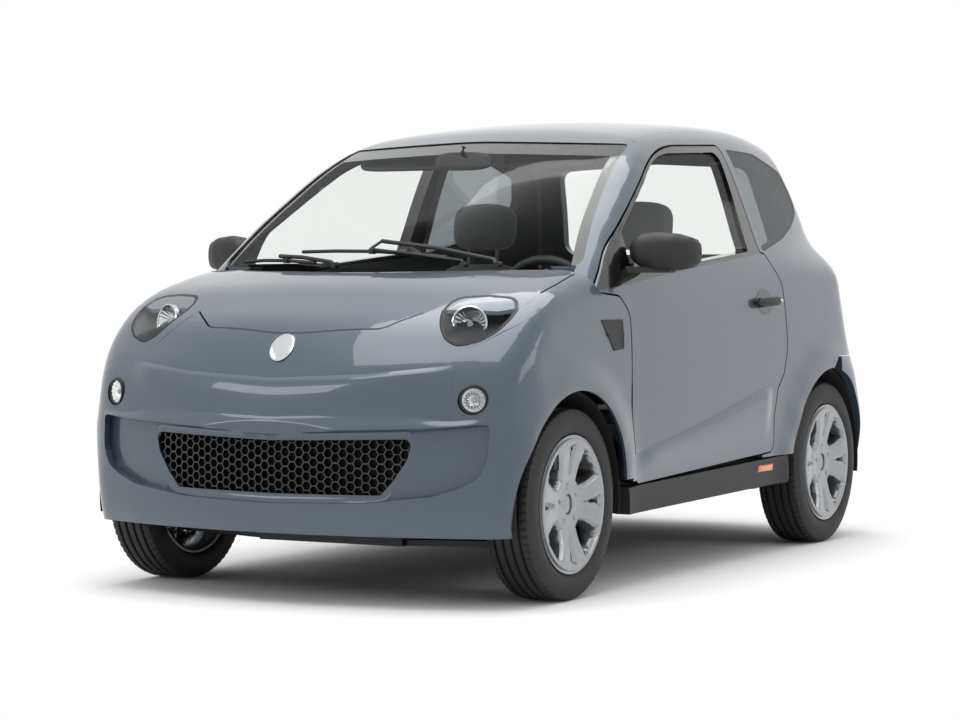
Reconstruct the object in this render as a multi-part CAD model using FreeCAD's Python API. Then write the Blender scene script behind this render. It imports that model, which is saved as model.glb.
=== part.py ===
"""A two-seat microcar: painted panels on a low tub, with opening doors, bonnet and tailgate, steered
front wheels and four rolling wheels. Millimetres. X points to the car's left, the nose faces -Y, Z is up,
and the origin is on the ground under the middle of the body."""

import FreeCAD
import Part
import Sketcher
import math
import os
import re

from FreeCAD import Rotation, Vector

doc = FreeCAD.newDocument("microcar")

# Driving dimensions, in millimetres, one spreadsheet cell each.
sizes = {
    # whole body
    "body_length": 2960,
    "body_width": 1510,
    "body_height": 1470,
    "wheelbase": 1950,
    "axle_shift": 5,
    "gap": 5,
    "fit": 0.5,
    "slip": 0.05,
    "overrun": 60,
    # wheels
    "tyre_diameter": 562,
    "tyre_width": 158,
    "rim_diameter": 405,
    "wheel_face_x": 738,
    "arch_radius": 332,
    "liner_wall": 5,
    "liner_inside_x": 424,
    "flare_height": 14,
    "flare_radius": 345,
    "flare_width": 60,
    # panel walls
    "fascia_wall": 56,
    "skin_wall": 10,
    "bonnet_wall": 12,
    "door_wall": 58,
    "frame_wall": 44,
    "roof_wall": 24,
    "tail_wall": 40,
    "glass_wall": 5,
    "screen_wall": 9,
    "lens_wall": 4,
    "lamp_depth": 72,
    "recess_depth": 30,
    # rounding between the main faces of the body
    "nose_round": 70,
    "shoulder_round": 120,
    "screen_round": 40,
    "tail_round": 60,
    "rail_round": 150,
    # tub
    "floor_z": 228,
    "floor_plate": 14,
    "tub_half_width": 676,
    "sill_width": 60,
    "sill_height": 86,
    "bulkhead_y": -634,
    "bulkhead_wall": 20,
    "bulkhead_top": 760,
    "bulkhead_half_width": 636,
    "wing_carrier_z": 556,
    "wing_carrier_height": 100,
    "rear_wall_y": 628,
    "rear_wall": 16,
    "boot_z": 470,
    "boot_plate": 12,
    "rail_half_width": 410,
    "rail_width": 44,
    "rail_height": 60,
    "front_rail_z": 300,
    "rear_rail_z": 410,
    "jack_y": 500,
    "jack_pad": 50,
    # door hinges
    "door_gap": 6,
    "door_axis_x": 719,
    "door_axis_y": -667,
    "low_hinge_z": 520,
    "high_hinge_z": 690,
    "hinge_pin_radius": 5,
    "hinge_leaf": 24,
    "hinge_strip": 12,
    "hinge_neck": 72,
    "hinge_reach": 90,
    "hinge_swing": 71.5,
    "hinge_foot": 54,
    "hinge_plate": 8,
    "hinge_slack": 1,
    # bonnet hinges
    "bonnet_axis_y": -795,
    "bonnet_axis_z": 950,
    "bonnet_lug_x": 556,
    "bonnet_lug_width": 12,
    "bonnet_lug_radius": 14,
    "bonnet_pin_radius": 5,
    # tailgate hinges
    "gate_axis_ahead": 15,
    "gate_axis_drop": 10,
    "gate_pin_radius": 4,
    "gate_leaf_width": 40,
    "gate_gap": 8,
    # dashboard and steering
    "dash_rear_y": -400,
    "dash_low_z": 640,
    "dash_top_z": 872,
    "dash_half_width": 596,
    "dash_nose_y": -880,
    "wheel_x": 300,
    "steer_wheel_y": -268,
    "steer_wheel_z": 820,
    "steer_wheel_radius": 182,
    "steer_rim_radius": 15,
    "steer_hub_radius": 46,
    "steer_hub_depth": 44,
    "steer_spoke_width": 34,
    "steer_spoke_depth": 16,
    "column_radius": 26,
    "column_shroud_radius": 48,
    "column_length": 290,
    # seats
    "seat_x": 300,
    "seat_width": 470,
    "seat_cushion_front_y": -130,
    "seat_cushion_rear_y": 360,
    "seat_cushion_z": 330,
    "seat_cushion_top_z": 500,
    "seat_back_depth": 130,
    "seat_back_top_z": 960,
    "headrest_top_z": 1130,
    "headrest_width": 250,
    "seat_base_width": 300,
    # running gear
    "hub_bore_radius": 27,
    "spindle_tip_x": 712,
    "disc_radius": 118,
    "disc_wall": 10,
    "disc_x": 674,
    "hub_radius": 62,
    "rim_lip": 12,
    "rim_barrel_wall": 9,
    "rim_face_wall": 34,
    "spoke_count": 8,
    "spoke_width": 26,
    "tyre_shoulder": 14,
    "spring_radius": 46,
    "wiper_radius": 5,
    "wiper_lift": 16,
    "king_low_x": 636,
    "king_low_z": 184,
    "king_top_x": 530,
    "king_top_z": 655,
    "king_pin_radius": 8,
    "strut_radius": 24,
    "strut_low_z": 330,
    "knuckle_width": 44,
    "knuckle_depth": 84,
    "arm_plate": 18,
    "arm_inner_x": 250,
    "arm_spread": 130,
    "subframe_y0": -1130,
    "subframe_y1": -810,
    "tower_wall": 12,
    "tower_half_depth": 90,
    "beam_radius": 30,
    "beam_half_width": 560,
    "trailing_x": 388,
    "trailing_width": 44,
    "engine_half_width": 230,
    "engine_front_y": -1180,
    "engine_rear_y": -790,
    "engine_low_z": 240,
    "engine_top_z": 610,
    "radiator_y": -1340,
    "radiator_wall": 40,
    "radiator_half_width": 330,
    "radiator_top_z": 560,
}


def make_sheet():
    """The spreadsheet that holds every driving dimension under its alias."""
    page = doc.addObject("Spreadsheet::Sheet", "Sizes")
    for row, (alias, value) in enumerate(sizes.items(), start=1):
        page.set(f"A{row}", alias)
        page.set(f"B{row}", str(value))
        page.setAlias(f"B{row}", alias)
    doc.recompute()
    return page


sheet = make_sheet()


class Sizes:
    """Reads the driving dimensions from the spreadsheet by their aliases."""

    def __getattr__(self, alias):
        return float(getattr(sheet, alias))


mm = Sizes()
half_width = mm.body_width / 2
wheel_radius = mm.tyre_diameter / 2
front_axle_y = mm.axle_shift - mm.wheelbase / 2
rear_axle_y = mm.axle_shift + mm.wheelbase / 2
axle_ys = (front_axle_y, rear_axle_y)
beyond = 2 * mm.body_length
ahead = Vector(0, -1, 0)
leftward = Vector(1, 0, 0)
upward = Vector(0, 0, 1)


# Body surface: each main face is a curve in profile, bowed across, and the corners are rounded

class Curve:
    """A natural cubic spline through (place, value) shares, each times its unit; straight beyond its ends."""

    def __init__(self, shares, place_unit, value_unit):
        self.places = [place * place_unit for place, value in shares]
        self.values = [value * value_unit for place, value in shares]
        count = len(shares)
        self.bends = [0.0] * count
        carry = [0.0] * count
        load = [0.0] * count
        for i in range(1, count - 1):
            before = self.places[i] - self.places[i - 1]
            after = self.places[i + 1] - self.places[i]
            turn = (self.values[i + 1] - self.values[i]) / after - (self.values[i] - self.values[i - 1]) / before
            weight = 2 * (before + after) - before * carry[i - 1]
            carry[i] = after / weight
            load[i] = (6 * turn - before * load[i - 1]) / weight
        for i in range(count - 2, 0, -1):
            self.bends[i] = load[i] - carry[i] * self.bends[i + 1]

    def __call__(self, place):
        places, values, bends = self.places, self.values, self.bends
        last = len(places) - 1
        if place < places[0]:
            span = places[1] - places[0]
            slope = (values[1] - values[0]) / span - span * bends[1] / 6
            return values[0] + (place - places[0]) * slope
        if place > places[last]:
            span = places[last] - places[last - 1]
            slope = (values[last] - values[last - 1]) / span + span * bends[last - 1] / 6
            return values[last] + (place - places[last]) * slope
        i = 0
        while i < last - 1 and place > places[i + 1]:
            i += 1
        span = places[i + 1] - places[i]
        p = (places[i + 1] - place) / span
        q = (place - places[i]) / span
        bend = ((p ** 3 - p) * bends[i] + (q ** 3 - q) * bends[i + 1]) * span * span / 6
        return p * values[i] + q * values[i + 1] + bend


# Half width by place along the body, by height, and how the cabin narrows to the rear.
plan_shares = [
    (-0.50, 0.950), (-0.44, 0.980), (-0.36, 0.990), (-0.25, 0.990), (-0.05, 0.988),
    (0.15, 0.988), (0.30, 0.990), (0.40, 0.985), (0.46, 0.965), (0.50, 0.935),
]
section_shares = [
    (0.13, 0.955), (0.20, 0.978), (0.30, 0.994), (0.40, 1.000), (0.50, 0.994), (0.60, 0.972),
    (0.66, 0.945), (0.72, 0.905), (0.80, 0.853), (0.90, 0.780), (1.00, 0.695),
]
cabin_taper_shares = [
    (-0.50, 0.0), (-0.25, 0.0), (-0.05, 0.0), (0.12, 0.004), (0.22, 0.020), (0.32, 0.055),
    (0.40, 0.105), (0.50, 0.200),
]
# Profiles on the centre line: nose, bonnet, windscreen, roof and tail.
nose_shares = [
    (0.10, -0.490), (0.15, -0.4955), (0.22, -0.4985), (0.33, -0.4985), (0.41, -0.4935),
    (0.465, -0.4855), (0.505, -0.4720), (0.545, -0.4560), (0.58, -0.434), (0.62, -0.403),
]
hood_shares = [
    (-0.50, 0.400), (-0.4515, 0.545), (-0.42, 0.582), (-0.38, 0.620), (-0.34, 0.645),
    (-0.30, 0.664), (-0.25, 0.680), (-0.20, 0.690),
]
screen_shares = [
    (0.60, -0.3500), (0.6585, -0.3142), (0.75, -0.2535), (0.82, -0.1970), (0.89, -0.1330),
    (0.94, -0.0709), (1.00, 0.0100),
]
roof_shares = [
    (-0.15, 0.925), (-0.07, 0.952), (0.00, 0.975), (0.10, 0.9945), (0.20, 1.000), (0.30, 0.990),
    (0.372, 0.962), (0.45, 0.910),
]
tail_shares = [
    (0.10, 0.478), (0.15, 0.490), (0.20, 0.4985), (0.26, 0.498), (0.34, 0.483), (0.42, 0.464),
    (0.51, 0.446), (0.58, 0.440), (0.66, 0.4375), (0.78, 0.418), (0.88, 0.394), (0.96, 0.370), (1.05, 0.335),
]
# How far each face falls back at the body's full half width, as shares of that half width.
nose_bow_share = 0.211
hood_bow_share = 0.053
screen_bow_share = 0.325
roof_bow_share = 0.100
clamp_share = 0.22
tail_bow_share = 0.151
cabin_foot_share = 0.62
cabin_rise_share = 0.12
cowl_side_share = 0.88
pillar_foot_share = 0.835

plan = Curve(plan_shares, mm.body_length, 1)
section = Curve(section_shares, mm.body_height, 1)
cabin_taper = Curve(cabin_taper_shares, mm.body_length, 1)
nose_profile = Curve(nose_shares, mm.body_height, mm.body_length)
hood_profile = Curve(hood_shares, mm.body_length, mm.body_height)
screen_profile = Curve(screen_shares, mm.body_height, mm.body_length)
roof_profile = Curve(roof_shares, mm.body_length, mm.body_height)
tail_profile = Curve(tail_shares, mm.body_height, mm.body_length)
flare_height = mm.flare_height
flare_radius = mm.flare_radius
flare_width = mm.flare_width
nose_round = mm.nose_round
shoulder_round = mm.shoulder_round
screen_round = mm.screen_round
tail_round = mm.tail_round
rail_round = mm.rail_round
cabin_foot_z = cabin_foot_share * mm.body_height
cabin_rise = cabin_rise_share * mm.body_height


def smooth_min(a, b, radius):
    """The lesser of a and b, with the corner between them rounded."""
    blend = max(radius - abs(a - b), 0.0) / radius
    return min(a, b) - blend * blend * blend * radius / 6


def ease(t):
    """Rises smoothly from 0 to 1 while t goes from 0 to 1."""
    t = min(max(t, 0.0), 1.0)
    return t * t * t * (t * (6 * t - 15) + 10)


def bowed(share, x):
    """How far a face has fallen back at x, growing with the square of x."""
    return share * x * x / half_width


def side_x(y, z):
    """Half width of the body at a place along it and a height, with the flares round the wheel arches."""
    share = plan(y) * section(z) - cabin_taper(y) * ease((z - cabin_foot_z) / cabin_rise)
    flares = 0.0
    for axle_y in axle_ys:
        off = (math.hypot(y - axle_y, z - wheel_radius) - flare_radius) / flare_width
        flares += flare_height * math.exp(-off * off)
    return half_width * share + flares


def front_end(x, y, z):
    """Positive inside the front of the body: nose, bonnet and sides, with rounded corners between them."""
    side = side_x(y, z) - abs(x)
    nose = y - nose_profile(z) - bowed(nose_bow_share, x)
    top = hood_profile(y) - bowed(hood_bow_share, x) - z
    return smooth_min(smooth_min(nose, top, nose_round), side, shoulder_round)


def cabin(x, y, z):
    """Positive inside the cabin half of the body: sides, windscreen, roof and tail."""
    side = side_x(y, z) - abs(x)
    screen = y - screen_profile(z) - bowed(screen_bow_share, x)
    top = roof_profile(y) - bowed(roof_bow_share, x) - z
    tail = tail_profile(z) - bowed(tail_bow_share, x) - y
    over = smooth_min(smooth_min(screen, top, screen_round), tail, tail_round)
    return smooth_min(over, side, rail_round)


def clear_of(distance):
    """A distance to a neighbouring face, kept large enough that a rounded corner never swallows the face."""
    return max(distance, clamp_share * rail_round)


def side_face(x, y, z):
    """Positive inboard of the side alone, rounded towards roof and windscreen but never ended by them."""
    side = side_x(y, z) - abs(x)
    screen = y - screen_profile(z) - bowed(screen_bow_share, x)
    top = roof_profile(y) - bowed(roof_bow_share, x) - z
    over = smooth_min(screen, top, screen_round)
    return smooth_min(side, clear_of(over), rail_round)


def screen_face(x, y, z):
    """Positive behind the windscreen alone, rounded towards roof and sides but never ended by them."""
    side = side_x(y, z) - abs(x)
    screen = y - screen_profile(z) - bowed(screen_bow_share, x)
    top = roof_profile(y) - bowed(roof_bow_share, x) - z
    over = smooth_min(screen, clear_of(top), screen_round)
    return smooth_min(over, clear_of(side), rail_round)


def tail_face(x, y, z):
    """Positive in front of the tail alone, rounded towards roof and sides but never ended by them."""
    side = side_x(y, z) - abs(x)
    top = roof_profile(y) - bowed(roof_bow_share, x) - z
    tail = tail_profile(z) - bowed(tail_bow_share, x) - y
    over = smooth_min(tail, clear_of(top), tail_round)
    return smooth_min(over, clear_of(side), rail_round)


def find(inside, origin, direction):
    """The point where a ray from inside the body leaves it."""
    low, high = 0.0, mm.body_length
    ox, oy, oz = origin
    dx, dy, dz = direction
    for _ in range(34):
        middle = (low + high) / 2
        if inside(ox + middle * dx, oy + middle * dy, oz + middle * dz) > 0:
            low = middle
        else:
            high = middle
    return Vector(ox + low * dx, oy + low * dy, oz + low * dz)


def steps(first, last, count):
    """Evenly spaced numbers from first to last."""
    return [first + (last - first) * i / (count - 1) for i in range(count)]


class Skin:
    """A curved panel form. Rays from inside the car meet its surface, and walls lie between two depths."""

    def __init__(self, inside, rays):
        self.hits = []
        for row in rays:
            self.hits.append([(find(inside, start, way), Vector(*way)) for start, way in row])

    def face(self, depth):
        """The smooth face at a depth below the outer surface, measured along the rays."""
        rows = [[point - way * depth for point, way in row] for row in self.hits]
        surface = Part.BSplineSurface()
        surface.interpolate(rows)
        return surface.toShape()

    def wall(self, outer_depth, inner_depth):
        """The closed slab between two depths."""
        outer = self.face(outer_depth)
        inner = self.face(inner_depth)
        faces = [outer, inner]
        for near, far in zip(outer.Edges, inner.Edges):
            faces.append(Part.makeRuledSurface(near, far))
        shell = Part.makeShell(faces)
        shell.sewShape()
        slab = Part.Solid(shell)
        if slab.Volume < 0:
            slab.reverse()
        return slab


def upright_star(centre, azimuths, heights):
    """Rays from one point, by azimuth from straight ahead towards +X and by height angle, in degrees."""
    rays = []
    for azimuth in azimuths:
        a = math.radians(azimuth)
        row = []
        for height in heights:
            h = math.radians(height)
            row.append((centre, (math.cos(h) * math.sin(a), -math.cos(h) * math.cos(a), math.sin(h))))
        rays.append(row)
    return rays


def lying_star(centre, slants, rolls):
    """Rays from one point, by slant towards +Y and by roll from +X up over the roof, in degrees."""
    rays = []
    for slant in slants:
        s = math.radians(slant)
        row = []
        for roll in rolls:
            r = math.radians(roll)
            row.append((centre, (math.cos(s) * math.cos(r), math.sin(s), math.cos(s) * math.sin(r))))
        rays.append(row)
    return rays


def side_rays(ys, zs):
    """Parallel rays to the left from the middle of the car."""
    return [[((0.0, y, z), (1.0, 0.0, 0.0)) for z in zs] for y in ys]


def length_rays(xs, zs, start_y, way):
    """Parallel rays along the car, forwards for way -1 and backwards for way 1."""
    return [[((x, start_y, z), (0.0, way, 0.0)) for z in zs] for x in xs]


# Outlines: corner points with a radius share, as shares of the body's length, half width and height

def rounded_wire(corners):
    """A closed wire of lines and arcs through corners, each a point and a radius."""
    count = len(corners)
    ends = []
    for i in range(count):
        point, radius = corners[i]
        before = corners[i - 1][0] - point
        after = corners[(i + 1) % count][0] - point
        turn = before.getAngle(after)
        reach = radius / math.tan(turn / 2)
        reach = min(reach, before.Length * edge_limit_share, after.Length * edge_limit_share)
        start = point + before / before.Length * reach
        stop = point + after / after.Length * reach
        inward = before / before.Length + after / after.Length
        middle = point
        if inward.Length > flat_turn and reach > 0:
            true_radius = reach * math.tan(turn / 2)
            inward.normalize()
            middle = point + inward * (math.hypot(reach, true_radius) - true_radius)
        ends.append((start, middle, stop))
    edges = []
    for i in range(count):
        start, middle, stop = ends[i]
        if (stop - start).Length > mm.slip:
            edges.append(Part.Arc(start, middle, stop).toShape())
        following = ends[(i + 1) % count][0]
        if (following - stop).Length > mm.slip:
            edges.append(Part.LineSegment(stop, following).toShape())
    return Part.Wire(edges)


edge_limit_share = 0.48
flat_turn = 1e-3


def side_outline(shares, at_x=0.0):
    """A wire in a side view plane, from (length share, height share, radius share) corners."""
    corners = []
    for y, z, radius in shares:
        corners.append((Vector(at_x, y * mm.body_length, z * mm.body_height), radius * mm.body_height))
    return rounded_wire(corners)


def front_outline(shares, at_y):
    """A wire in a front view plane, from (half width share, height share, radius share) corners."""
    corners = []
    for x, z, radius in shares:
        corners.append((Vector(x * half_width, at_y, z * mm.body_height), radius * mm.body_height))
    return rounded_wire(corners)


def plan_outline(shares, at_z=0.0):
    """A wire in a plan view plane, from (half width share, length share, radius share) corners."""
    corners = []
    for x, y, radius in shares:
        corners.append((Vector(x * half_width, y * mm.body_length, at_z), radius * mm.body_height))
    return rounded_wire(corners)


def both_sides(shares):
    """A half outline from the middle to the left and back, continued by its mirror image."""
    mirrored = [(-x, y, radius) for x, y, radius in reversed(shares) if abs(x) > 0]
    return shares + mirrored


def prism(wire, way, grown=0.0):
    """The solid that a closed wire sweeps along a vector, first grown or shrunk by a distance."""
    if grown:
        wire = wire.makeOffset2D(grown)
    return Part.Face(wire).extrude(way)


def mirrored(shape):
    """The same piece on the car's right."""
    return shape.mirror(Vector(), leftward)


def wheel_arch(radius, inside_x):
    """Both sides' wheel openings at both axles, from an inner x outwards."""
    tools = []
    for axle_y in axle_ys:
        left = Part.makeCylinder(radius, half_width, Vector(inside_x, axle_y, wheel_radius), leftward)
        tools.extend([left, mirrored(left)])
    return tools


def box(x0, x1, y0, y1, z0, z1):
    """A box between six named places."""
    return Part.makeBox(x1 - x0, y1 - y0, z1 - z0, Vector(x0, y0, z0))


nodes = {}


def publish(label, shape):
    """Keeps a finished piece in the document under its node name."""
    item = doc.addObject("Part::Feature", label)
    item.Label = label
    item.Shape = shape
    nodes[label] = item
    return item


def pair(shape):
    """A left piece and its right twin, as two solids."""
    return Part.makeCompound([shape, mirrored(shape)])


# The panel forms

nose_centre = (0.0, -0.17 * mm.body_length, 0.285 * mm.body_height)
front_star = upright_star(nose_centre, steps(-108, 108, 49), steps(-34, 60, 26))
front_form = Skin(front_end, front_star)
cabin_centre = (0.0, 0.07 * mm.body_length, 0.53 * mm.body_height)
cabin_slants = steps(-64, 44, 24) + steps(46.5, 68, 9)
cabin_form = Skin(cabin, lying_star(cabin_centre, cabin_slants, steps(-46, 226, 61)))
tail_centre = (0.0, 0.14 * mm.body_length, 0.43 * mm.body_height)
tail_star = upright_star(tail_centre, steps(104, 256, 35), steps(-42, 40, 22))
tail_form = Skin(cabin, tail_star)
door_ys = steps(-0.285 * mm.body_length, 0.225 * mm.body_length, 27)
side_form = Skin(side_face, side_rays(door_ys, steps(0.135 * mm.body_height, 0.945 * mm.body_height, 26)))
screen_xs = steps(-0.93 * half_width, 0.93 * half_width, 21)
screen_zs = steps(0.645 * mm.body_height, 0.962 * mm.body_height, 12)
screen_form = Skin(screen_face, length_rays(screen_xs, screen_zs, 0.0, -1.0))
gate_xs = steps(-0.80 * half_width, 0.80 * half_width, 17)
gate_zs = steps(0.40 * mm.body_height, 0.953 * mm.body_height, 24)
gate_form = Skin(tail_face, length_rays(gate_xs, gate_zs, 0.17 * mm.body_length, 1.0))

door_shares = [
    (-0.262, 0.611, 0.004), (-0.2155, 0.696, 0.40), (-0.0227, 0.922, 0.50), (0.157, 0.936, 0.017),
    (0.170, 0.690, 0.010),
    (0.1807, 0.687, 0.004), (0.2047, 0.622, 0.041), (0.203, 0.470, 0.05), (0.191, 0.413, 0.03),
    (0.174, 0.382, 0.02), (0.165, 0.316, 0.02), (0.169, 0.238, 0.020), (-0.187, 0.212, 0.020),
    (-0.205, 0.377, 0.10), (-0.199, 0.565, 0.04), (-0.218, 0.603, 0.027),
]
belt_shares = [
    (-0.280, 0.6105, 0.0), (-0.262, 0.6115, 0.0), (-0.005, 0.662, 0.02), (0.172, 0.689, 0.0),
    (0.22, 0.69, 0.0), (0.22, 1.0, 0.0), (-0.280, 1.0, 0.0),
]
window_shares = [
    (-0.182, 0.668, 0.005), (-0.174, 0.734, 0.03), (-0.029, 0.9065, 0.35), (0.144, 0.921, 0.027),
    (0.137, 0.694, 0.010), (-0.005, 0.671, 0.02),
]
quarter_window_shares = [
    (0.176, 0.930, 0.007), (0.262, 0.925, 0.041), (0.340, 0.885, 0.027), (0.365, 0.800, 0.041),
    (0.315, 0.755, 0.02), (0.265, 0.725, 0.054), (0.181, 0.694, 0.007),
]
side_frame_shares = [
    (-0.300, 0.668, 0.0), (-0.276, 0.660, 0.0), (-0.262, 0.608, 0.0), (-0.15, 0.60, 0.0),
    (0.10, 0.40, 0.0), (0.14, 0.226, 0.0), (0.232, 0.226, 0.0), (0.35, 0.445, 0.0),
    (0.50, 0.445, 0.0), (0.50, 0.80, 0.0), (0.44, 1.02, 0.0), (0.0, 1.02, 0.0), (-0.08, 1.02, 0.0),
]
wing_shares = [
    (-0.4030, 0.4500, 0.0), (-0.3801, 0.3823, 0.0), (-0.30, 0.30, 0.0), (-0.26, 0.226, 0.0),
    (-0.14, 0.226, 0.0), (-0.15, 0.60, 0.0), (-0.262, 0.611, 0.0), (-0.276, 0.663, 0.0),
    (-0.300, 0.671, 0.0), (-0.315, 0.80, 0.0), (-0.42, 0.80, 0.0), (-0.41, 0.60, 0.0),
]
sill_shares = [
    (-0.2111, 0.2068, 0.0), (0.205, 0.2238, 0.0), (0.214, 0.160, 0.01), (-0.196, 0.1490, 0.01),
]
screen_outline_shares = [
    (0.0, 0.6585, 1.5), (0.857, 0.6626, 0.014), (0.678, 0.9272, 0.02), (0.0, 0.9388, 1.5),
]
roof_half_shares = [
    (0.0, -0.13, 0.0), (0.650, -0.13, 0.0), (0.655, 0.0, 0.3), (0.645, 0.20, 0.4),
    (0.600, 0.361, 0.02), (0.0, 0.366, 0.6),
]
bonnet_half_shares = [
    (0.0, -0.4570, 0.6), (0.397, -0.4452, 0.05), (0.482, -0.4264, 0.03), (0.536, -0.4130, 0.02),
    (0.800, -0.4000, 0.02), (0.885, -0.3870, 0.05), (0.893, -0.3300, 0.2), (0.880, -0.2760, 0.03),
    (0.848, -0.2735, 0.008), (0.50, -0.3100, 0.4), (0.0, -0.3350, 0.9),
]
lamp_shares = [
    (0.512, 0.5780, 0.02), (0.560, 0.5560, 0.02), (0.640, 0.5110, 0.03), (0.700, 0.4990, 0.03),
    (0.800, 0.5200, 0.05), (0.905, 0.5560, 0.03), (0.935, 0.5850, 0.012), (0.925, 0.6060, 0.008),
    (0.80, 0.6070, 0.05), (0.640, 0.6000, 0.03),
]
fog_place_shares = (0.817, 0.4075)
recess_half_shares = [
    (0.0, 0.3380, 0.0), (0.60, 0.3500, 0.10), (0.882, 0.3630, 0.012), (0.878, 0.295, 0.05),
    (0.846, 0.2565, 0.05), (0.773, 0.2390, 0.06), (0.679, 0.2225, 0.04), (0.40, 0.2060, 0.2),
    (0.0, 0.2010, 0.0),
]
grille_half_shares = [
    (0.0, 0.3230, 0.0), (0.583, 0.3306, 0.012), (0.567, 0.2918, 0.03), (0.510, 0.2490, 0.04),
    (0.460, 0.2211, 0.012), (0.0, 0.2190, 0.0),
]
gate_half_shares = [
    (0.0, 0.4700, 0.0), (0.640, 0.4700, 0.030), (0.700, 0.560, 0.06), (0.690, 0.640, 0.06),
    (0.600, 0.9000, 0.10), (0.585, 1.02, 0.0), (0.0, 1.02, 0.0),
]
gate_window_half_shares = [
    (0.0, 0.6900, 0.0), (0.560, 0.6900, 0.030), (0.500, 0.9000, 0.030), (0.0, 0.9150, 0.0),
]
tail_lamp_shares = [
    (0.370, 0.640, 0.02), (0.405, 0.660, 0.02), (0.46, 0.655, 0.0), (0.50, 0.56, 0.0), (0.46, 0.545, 0.0),
    (0.405, 0.590, 0.02),
]

reach = mm.body_width
side_way = leftward * reach
door_wire = side_outline(door_shares)
door_prism = prism(door_wire, side_way)
door_hole = prism(door_wire, side_way, mm.door_gap)
belt_prism = prism(side_outline(belt_shares), side_way)
window_prism = prism(side_outline(window_shares), side_way)
quarter_prism = prism(side_outline(quarter_window_shares), side_way)
arches = wheel_arch(mm.arch_radius, mm.liner_inside_x)
arch_tool = Part.makeCompound(arches)

# An outline seen from the front is swept back only as far as the panels it trims.
far_front = -0.6 * mm.body_length
screen_wire = front_outline(both_sides(screen_outline_shares), far_front)
screen_way = Vector(0, 0.64 * mm.body_length, 0)
screen_prism = prism(screen_wire, screen_way, -mm.fit)
screen_hole = prism(screen_wire, screen_way)
nose_way = Vector(0, 0.25 * mm.body_length, 0)
lamp_wire = front_outline(lamp_shares, far_front)
lamp_prism = prism(lamp_wire, nose_way, -mm.fit)
lamp_hole = prism(lamp_wire, nose_way)
recess_prism = prism(front_outline(both_sides(recess_half_shares), far_front), nose_way)
grille_wire = front_outline(both_sides(grille_half_shares), far_front)
grille_prism = prism(grille_wire, nose_way, -mm.fit)
grille_hole = prism(grille_wire, nose_way)
bonnet_wire = plan_outline(both_sides(bonnet_half_shares))
bonnet_way = upward * mm.body_height
bonnet_lift = Vector(0, 0, 0.45 * mm.body_height)
bonnet_prism = prism(bonnet_wire, bonnet_way).translated(bonnet_lift)
bonnet_hole = prism(bonnet_wire, bonnet_way, mm.gap).translated(bonnet_lift)
roof_wire = plan_outline(both_sides(roof_half_shares))
roof_prism = prism(roof_wire, bonnet_way, -mm.fit).translated(bonnet_lift)
roof_hole = prism(roof_wire, bonnet_way).translated(bonnet_lift)
gate_front = 0.17 * mm.body_length
gate_wire = front_outline(both_sides(gate_half_shares), gate_front)
gate_way = Vector(0, mm.body_length, 0)
gate_prism = prism(gate_wire, gate_way)
gate_hole = prism(gate_wire, gate_way, mm.gate_gap)
gate_window_wire = front_outline(both_sides(gate_window_half_shares), gate_front)
gate_window_prism = prism(gate_window_wire, gate_way, -mm.fit)
gate_window_hole = prism(gate_window_wire, gate_way)
roof_end_y = 0.366 * mm.body_length
tail_lamp_wire = side_outline(tail_lamp_shares)
tail_lamp_prism = prism(tail_lamp_wire, side_way, -mm.fit)
tail_lamp_hole = prism(tail_lamp_wire, side_way)
wing_prism = prism(side_outline(wing_shares), side_way)
frame_prism = prism(side_outline(side_frame_shares), side_way)
sill_prism = prism(side_outline(sill_shares), side_way)
left_half = box(0, reach, -beyond, beyond, 0, beyond)


def fog_ring(radius):
    """A cylinder along the car at the fog lamp's place."""
    x_share, z_share = fog_place_shares
    place = Vector(x_share * half_width, far_front, z_share * mm.body_height)
    return Part.makeCylinder(radius, 0.25 * mm.body_length, place, Vector(0, 1, 0))


fog_radius = 0.028 * mm.body_height

# Front fascia: bumper and nose panel in one, with a recess round the grille
both_lamp_holes = [lamp_hole, mirrored(lamp_hole)]
both_fog_holes = [fog_ring(fog_radius + mm.fit), mirrored(fog_ring(fog_radius + mm.fit))]
wing_grown = [wing_prism, mirrored(wing_prism)]
fascia_floor = 0.142 * mm.body_height
fascia_back = -0.3801 * mm.body_length
fascia_block = box(-reach, reach, -beyond, fascia_back, fascia_floor, mm.body_height)
fascia = front_form.wall(0.0, mm.fascia_wall).common(fascia_block)
fascia = fascia.cut(wing_grown + arches + [bonnet_hole])
fascia = fascia.cut(both_lamp_holes + both_fog_holes)
recess = front_form.wall(-mm.recess_depth, mm.recess_depth).common(recess_prism)
fascia = fascia.cut([recess, grille_hole])
publish("front_fascia", fascia)

grille_slab = front_form.wall(mm.recess_depth, mm.fascia_wall).common(grille_prism)
publish("grille", grille_slab)

# Front wings
wing = front_form.wall(0.0, mm.skin_wall).common(wing_prism)
cowl_room = box(0, cowl_side_share * half_width, -0.4 * mm.body_length, 0, cabin_foot_z, mm.body_height)
wing = wing.cut(arches + [bonnet_hole, lamp_hole, door_hole, cowl_room])
publish("front_wings", pair(wing))

# Headlamps and fog lamps
lens = front_form.wall(0.0, mm.lens_wall).common(lamp_prism).cut(bonnet_hole)
publish("headlamp_lenses", pair(lens))
lamp_bowl = front_form.wall(mm.lens_wall, mm.lamp_depth).common(lamp_prism)
lamp_room = prism(lamp_wire, nose_way, -mm.fit - mm.lens_wall)
lamp_bowl = lamp_bowl.cut(front_form.wall(0.0, mm.lamp_depth - mm.lens_wall).common(lamp_room))
lamp_bowl = lamp_bowl.cut(bonnet_hole)
publish("headlamps", pair(lamp_bowl))
fog = front_form.wall(mm.lens_wall, mm.fascia_wall).common(fog_ring(fog_radius))
publish("fog_lamps", pair(fog))

# Bonnet
bonnet = front_form.wall(0.0, mm.bonnet_wall).common(bonnet_prism)

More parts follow.
